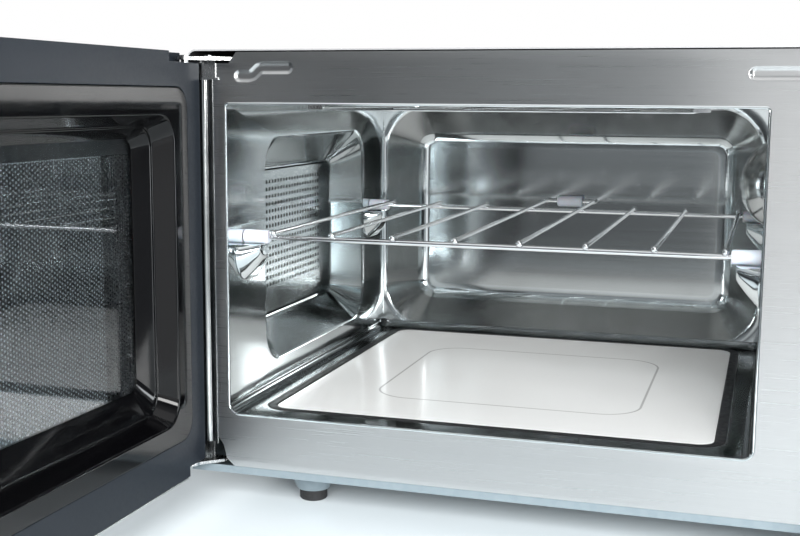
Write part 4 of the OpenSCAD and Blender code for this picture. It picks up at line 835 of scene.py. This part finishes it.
white_plastic = textured("white_plastic", (0.80, 0.80, 0.78), 0.0, 0.42, Subsurface_Weight=0.1,
    Subsurface_Scale=0.002, shades=(40.0, (0.77, 0.77, 0.75), (0.83, 0.83, 0.81)),
    relief=(900.0, 0.08, 4e-5))
textured("foot_rubber", (0.018, 0.018, 0.019), 0.0, 0.7, gloss=(500.0, 0.6, 0.8),
    relief=(900.0, 0.2, 0.0001))
# Dark moulded plastic; it also serves as painted shade on the inside of the casing.
dark_plastic = textured("dark_plastic", (0.03, 0.03, 0.032), 0.0, 0.5, gloss=(200.0, 0.42, 0.6),
    relief=(1200.0, 0.15, 5e-5))
brushed("door_steel", (0.66, 0.66, 0.655), 0.26, 0.0, lines=(1600, 1600, 9))
brushed("panel_plastic", (0.60, 0.60, 0.60), 0.3, 0.0, lines=(9, 1600, 1600))
brushed("button_plastic", (0.56, 0.56, 0.565), 0.32, 0.0, lines=(9, 1600, 1600))

tree = surface("knob_plastic", (0.60, 0.60, 0.605), 1.0, 0.28)[1]
low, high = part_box("selector_knob")
centre = (low + high) / 2
turned = wire(tree, "Mapping", Vector=own_place(tree), Location=(-centre.x, 0, -centre.z))
rings = wire(tree, "TexWave", Vector=turned, wave_type="RINGS", rings_direction="Y", Scale=700.0, Distortion=3.0,
    Detail=3.0)
vary(tree, rings, 0.22, 0.36, span=(0, 1))
emboss(tree, rings, 0.05, 3e-5)
print("finishes so far:", len(FINISH))

# %% Softened parts
soften("door_inner_frame", "door_frame", "door_paint", 0.7, 3)
soften("door_outer_skin", "door_skin", "door_steel", 0.8, 3)
soften("bar_handle", "door_handle", "door_steel", 0.8, 3)
soften("bushes", "hinge_bushes", "white_plastic", 0.5)
soften("latch_bar", "latch_hooks", "white_plastic", 0.5)
soften("upper_hinge_arm", "upper_hinge", "hinge_steel", 0.3, 3)
soften("lower_hinge_arm", "lower_hinge", "hinge_steel", 0.3, 3)
soften("pan", "base_pan", "pan_sheet", 0.5)
soften("feet", "rubber_feet", "foot_rubber", 0.6, 3)
casing = soften("wrapped_casing", "outer_casing", "casing_paint", 0.3)
# The casing's inward faces take the dark plastic finish as painted shade, so the vent holes look black.
casing.data.materials.append(dark_plastic)
inner = place(((LEFT + RIGHT) / 2, 190, 165))
for polygon in casing.data.polygons:
    polygon.material_index = int(polygon.normal.dot(polygon.center - inner) < 0)
soften("rear_panel", "back_panel", "galvanised_sheet", 0.3)
soften("panel_housing", "control_panel", "panel_plastic", 0.8, 3)
soften("knob", "selector_knob", "knob_plastic", 0.4, 3)
for n in range(1, 7):
    soften(f"key_{n}", f"button_{n}", "button_plastic", 0.5, 3)

# %% [markdown]
# ## Window
# Behind the inner glass is a steel screen, punched with staggered holes: it stops microwaves and
# lets light through. A small hexagon with a hole is drawn once, and Geometry Nodes set it at every
# point of a staggered grid; side by side they make a sheet with thousands of holes.

# %% A node group for staggered holes
def node_group(name, **sockets):
    """A geometry node group with these inputs, a way to add nodes to it, and its inputs by name."""
    tree = bpy.data.node_groups.new(name, "GeometryNodeTree")
    tree.interface.new_socket(name="Geometry", in_out="OUTPUT", socket_type="NodeSocketGeometry")
    for title, kind in {"Geometry": "Geometry", **sockets}.items():
        tree.interface.new_socket(name=title, in_out="INPUT", socket_type="NodeSocket" + kind)
    given = {socket.name: Sum(tree, socket) for socket in wire(tree, "NodeGroupInput").outputs}
    return tree, lambda kind, **values: wire(tree, kind, **values), given


def close_group(tree, instances):
    """Makes the instances real and sends them out of the group."""
    wire(tree, "NodeGroupOutput", Geometry=wire(tree, "RealizeInstances", Geometry=instances))
    print("node group:", tree.name, "with", len(tree.nodes), "nodes")


def run_nodes(obj, tree, material, **inputs):
    """Puts the tree on obj, sets its inputs, and makes the result a plain mesh of one material."""
    modifier = obj.modifiers.new("nodes", "NODES")
    modifier.node_group = tree
    for item in tree.interface.items_tree:
        if item.in_out == "INPUT" and item.name in inputs:
            modifier[item.identifier] = inputs[item.name]
    repaint(make_real(obj), material)
    return obj


def empty_piece(name):
    return new_object(name, bpy.data.meshes.new(name))


punched, add, given = node_group("staggered_holes", Pitch="Float", Hole="Float", Columns="Int", Rows="Int")
pitch = given["Pitch"]
row_pitch = pitch * (sqrt(3) / 2)
width = pitch * (given["Columns"] - 1.0)
height = row_pitch * (given["Rows"] - 1.0)
grid = add("MeshGrid", _0=width, _1=height, _2=given["Columns"], _3=given["Rows"])
where = add("ShaderNodeSeparateXYZ", _0=add("InputPosition"))
row = ((Sum(punched, where.outputs["Y"]) + height * 0.5) / row_pitch).math("ROUND")
shift = (row.math("MODULO", 2.0) - 0.5) * (pitch * 0.5)
staggered = add("SetPosition", Geometry=grid, Offset=add("ShaderNodeCombineXYZ", X=shift))
disc_r = pitch / sqrt(3)
disc = add("MeshCircle", fill_type="NGON", Vertices=6, Radius=disc_r)
turned = add("Transform", Geometry=disc, Rotation=(0, 0, radians(30)))
raised = add("ExtrudeMesh", Mesh=turned, Offset_Scale=0.0, Individual=False).outputs
shrunk = add("ScaleElements", Geometry=raised["Mesh"], Selection=raised["Top"], Scale=given["Hole"] / disc_r)
opened = add("DeleteGeometry", domain="FACE", Geometry=shrunk, Selection=raised["Top"])
dots = add("InstanceOnPoints", Points=staggered, Instance=opened)
close_group(punched, dots)

# %% Screen, inner glass and outer glass
PITCH = 2.8
SCREEN_Y = DOOR_FACE - 23.4
screen_black = textured("screen_paint", (0.012, 0.013, 0.014), 0.0, 0.4, gloss=(200.0, 0.38, 0.55),
    relief=(700.0, 0.1, 5e-5))
columns, rows = round(148.5 / PITCH), round(290 / (PITCH * sqrt(3) / 2))
screen = run_nodes(empty_piece("punched_screen"), punched, screen_black, Pitch=PITCH / 1000, Hole=0.00068,
    Columns=columns, Rows=rows)
middle = Vector((165, 0, 165.25))
half = ((rows * PITCH * sqrt(3) / 2) / 2 - 0.8, (columns * PITCH + PITCH / 2) / 2 - 0.8)
border = [ring((13, 85), (317, 255.5), 4, 4),
    [(middle.x + i * half[0], middle.z + j * half[1]) for i, j in ((-1, -1), (1, -1), (1, 1), (-1, 1))]]
with Editing(screen.data) as work:
    bmesh.ops.remove_doubles(work, verts=work.verts, dist=5e-5)
    for v in work.verts:
        v.co = place(swing((middle.x + v.co.y * 1000, SCREEN_Y, middle.z + v.co.x * 1000)))
    points, faces = flat(border)
    verts = [work.verts.new(place(swing((x, SCREEN_Y - 0.05, z)))) for x, z, _ in points]
    for face in faces:
        work.faces.new([verts[i] for i in face])
    bmesh.ops.recalc_face_normals(work, faces=work.faces)
    facing = OPEN @ Vector((0, 1, 0))
    bmesh.ops.reverse_faces(work, faces=[f for f in work.faces if f.normal.dot(facing) < 0])
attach(screen, "door")
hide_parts("window_screen")
print("screen:", len(screen.data.polygons), "faces,", columns * rows, "holes")

# Clear sheet glass: the tint is in the pane, the mirror image on its two faces.
for name, colour in (("inner_window_glass", (0.88, 0.92, 0.94)), ("outer_window_glass", (0.50, 0.53, 0.55))):
    textured(name, colour, 0.0, 0.02, Transmission_Weight=1.0, IOR=1.5, gloss=((18.0, 2.0), 0.01, 0.05))
soften("window_pane", "inner_glass", "inner_window_glass", 0.2)
soften("outer_pane", "outer_glass", "outer_window_glass", 0.4)

# %% [markdown]
# ## Rack
# The rack is bright wire: a rod across the front and one across the back, long wires welded on top
# with their ends rounded over, and a bumper at the rear. A wire is a circle swept along a line with
# small balls at its ends, so one node group makes them all from their two end points.

# %% Wires
welded, add, given = node_group("wire_row", Start="Vector", End="Vector", Step="Vector", Count="Int",
    Diameter="Float", Tip="Float")
thick = given["Diameter"] * 0.5
run = add("CurvePrimitiveLine", Start=given["Start"], End=given["End"])
section = add("CurvePrimitiveCircle", Resolution=20, Radius=thick)
tube = add("CurveToMesh", Curve=run, Profile_Curve=section, Fill_Caps=True)
round_end = add("MeshUVSphere", Segments=20, Rings=10, Radius=thick * given["Tip"])
tips = add("CurveToPoints", Curve=run, Count=2)
caps = add("InstanceOnPoints", Points=tips, Instance=round_end)
one = add("JoinGeometry")
for piece in (tube, caps):
    welded.links.new(piece.outputs[0], one.inputs[0])
places = add("MeshLine", Count=given["Count"], Offset=given["Step"])
row = add("InstanceOnPoints", Points=places, Instance=one)
close_group(welded, row)


AXIS_Z, BAR_Z = 182.15, 185.1
ROD, BAR = 3.5, 3.0
FIRST_BAR, LAST_BAR, BARS = 20.5, 309.5, 8
BUMPER_Y = 347.85
gap = (LAST_BAR - FIRST_BAR) / (BARS - 1)
bumper = [FIRST_BAR + 3 * gap, FIRST_BAR + 4 * gap]
rack = []
for name, x0, y0, x1, y1, z, step, count, diameter, tip in (
        ("rods", 4.2, 27, 325.8, 27, AXIS_Z, (0, 260, 0), 2, ROD, 1.04),
        ("left_bars", FIRST_BAR, 25.2, FIRST_BAR, 290, BAR_Z, (gap, 0, 0), 3, BAR, 1.45),
        ("middle_bars", bumper[0], 25.2, bumper[0], BUMPER_Y, BAR_Z, (gap, 0, 0), 2, BAR, 1.45),
        ("right_bars", FIRST_BAR + 5 * gap, 25.2, FIRST_BAR + 5 * gap, 290, BAR_Z, (gap, 0, 0), 3, BAR, 1.45),
        ("bumper", bumper[0], BUMPER_Y, bumper[1], BUMPER_Y, BAR_Z, (0, 0, 0), 1, BAR, 1.04)):
    rack.append(run_nodes(empty_piece(name), welded, chrome, Start=tuple(place((x0, y0, z))),
        End=tuple(place((x1, y1, z))), Step=tuple(Vector(step) / 1000), Count=count, Diameter=diameter / 1000, Tip=tip))
wirework = empty_piece("rack_wirework")
repaint(wirework.data, chrome)
with Editing(wirework.data) as work:
    for piece in rack:
        work.from_mesh(piece.data)
        bpy.data.objects.remove(piece)
    bmesh.ops.remove_doubles(work, verts=work.verts, dist=1e-7)
    bmesh.ops.recalc_face_normals(work, faces=work.faces)
finish(wirework, "rack_wires", sharp=50)

# %% Sleeves
def lathe(profile, centre, along, steps=32):
    """Turns (distance along, radius) points round the line through centre."""
    along = Vector(along).normalized()
    u = along.orthogonal().normalized()
    v = along.cross(u)
    turns = [2 * pi * k / steps for k in range(steps)]
    return skin([[Vector(centre) + along * a + (u * cos(t) + v * sin(t)) * r for t in turns]
                 for a, r in profile])


sleeves = Sheet("sleeves")
for y in (27.0, 287.0):
    for x, way in ((0.3, 1), (WIDTH - 0.3, -1)):
        sleeves.add(lathe([(0, 0.05), (0, 4.5), (0.25, 4.75), (5, 4.75), (6.5, 4.6), (15.2, 4.5),
            (16.4, 4.3), (17, 3.6), (17, 1.78), (14, 1.78)], (x, y, AXIS_Z), (way, 0, 0)))
sleeves.add(lathe([(3, 1.53), (0, 1.53), (0, 3.6), (0.5, 4.4), (1.4, 4.75), (20.6, 4.75), (21.5, 4.4), (22, 3.6),
    (22, 1.53), (19, 1.53)], ((bumper[0] + bumper[1]) / 2 - 11, BUMPER_Y, BAR_Z), (1, 0, 0)))
sleeves.make("rack_sleeves", [sleeve_white], "sleeve_plastic")

# %% [markdown]
# ## Parts inside the casing
# These show through a vent or when the casing is off. They keep the model's shapes, and each gets
# the finish of its trade: lacquered iron for the transformer, an aluminium can, moulded housings,
# a green board, ceramic holders and a lamp.

# %% Inner finishes
def moulded(name, colour, roughness=0.45, metallic=0.0, cells=500.0):
    """A plain finish with fine grain in its colour, gloss and surface."""
    fine = (cells, 2.0)
    dark, light = (tuple(c * share for c in colour) for share in (0.88, 1.12))
    return textured(name, colour, metallic, roughness, shades=(fine, dark, light),
        gloss=(fine, roughness * 0.85, roughness * 1.15), relief=(fine, 0.12, 5e-5))


dress = {
    "vent_grille": bright("grille_stainless", (0.70, 0.75, 0.76), 0.16, wave=0.05),
    "grill_guard": chrome,
    "grill_heater": moulded("heater_steel", (0.10, 0.095, 0.09), 0.45, 0.8, 300.0),
    "heater_holders": moulded("holder_ceramic", (0.78, 0.76, 0.70), 0.6),
    "cavity_lamp": moulded("lamp_body", (0.75, 0.73, 0.68), 0.4),
    "waveguide": galvanised,
    "magnetron": moulded("magnetron_metal", (0.60, 0.60, 0.58), 0.35, 0.9),
    "transformer": moulded("transformer_iron", (0.16, 0.11, 0.07), 0.5, 0.3, 120.0),
    "capacitor": moulded("capacitor_can", (0.66, 0.67, 0.68), 0.3, 1.0, 80.0),
    "fan_shroud": dark_plastic,
    "fan_motor": moulded("motor_iron", (0.32, 0.32, 0.33), 0.4, 0.8),
    "fan_blade": moulded("blade_plastic", (0.70, 0.70, 0.69), 0.45),
    "stirrer_motor": moulded("gearmotor_steel", (0.62, 0.61, 0.56), 0.35, 0.9),
    "stirrer": moulded("antenna_aluminium", (0.74, 0.74, 0.75), 0.3, 1.0, 60.0),
    "latch_housing": white_plastic,
    "interlock_switches": dark_plastic,
    "control_board": moulded("board", (0.03, 0.13, 0.06), 0.35, 0.0, 250.0),
    "display_window": moulded("display_plastic", (0.006, 0.006, 0.008), 0.08, 0.0, 40.0),
    "mains_inlet": moulded("gland_rubber", (0.02, 0.02, 0.02), 0.6),
}
for node, material in dress.items():
    repaint(frame["nodes"][node].data, material)
print("dressed", len(dress), "parts of the model")

# %% [markdown]
# ## Screws
# Nine pan-head screws hold the casing and the rear panel. A screw head is a small lathe shape with a
# cross recess; it is drawn once and Geometry Nodes set it at each place, turned to face outwards.

# %% Screws
screw_finish = moulded("screw_steel", (0.60, 0.60, 0.60), 0.3, 1.0, 700.0)
turns = [radians(15 * k) for k in range(24)]
outlines = [[(r * cos(t), r * sin(t), z) for t in turns] for r, z in (
    (0.05, -7), (1.1, -7), (1.7, -6.2), (1.7, 0), (3.8, 0), (3.8, 0.9), (3.6, 1.5), (3.1, 1.95), (2.4, 2.2))]
cross = [1.9 if k % 6 in (0, 1, 5) else 0.8 for k in range(24)]
for share, z in ((1.0, 2.2), (0.85, 1.0), (0.05, 0.8)):
    outlines.append([(share * r * cos(t), share * r * sin(t), z) for t, r in zip(turns, cross)])
points, faces = skin(outlines, close=True)
screw_mesh = bpy.data.meshes.new("one_screw")
screw_mesh.from_pydata([Vector(p) / 1000 for p in points], [], faces)
one_screw = bpy.data.objects.new("one_screw", screw_mesh)

fixed, add, given = node_group("screws_on_points", Screw="Object")
shape = add("ObjectInfo", Object=given["Screw"])
facing = add("InputNamedAttribute", data_type="FLOAT_VECTOR", Name="facing")
turned = add("FunctionNodeAlignRotationToVector", axis="Z", Vector=facing.outputs["Attribute"])
placed = add("InstanceOnPoints", Points=given["Geometry"], Instance=shape.outputs["Geometry"], Rotation=turned)
close_group(fixed, placed)

places = [((x, y, 35.5), (side, 0, 0)) for x, side in ((LEFT, -1), (RIGHT, 1)) for y in (60, 322)]
places += [((x, 379, z), (0, 1, 0)) for x, z in ((-16, 60), (-16, 274), (469, 60), (469, 274), (226.5, 292))]
screws = empty_piece("pan_head_screws")
screws.data.from_pydata([place(at) for at, _ in places], [], [])
facing = screws.data.attributes.new("facing", "FLOAT_VECTOR", "POINT")
facing.data.foreach_set("vector", [c for _, way in places for c in way])
run_nodes(screws, fixed, screw_finish, Screw=one_screw)
bpy.data.objects.remove(one_screw)
finish(screws, "casing_screws", sharp=30)
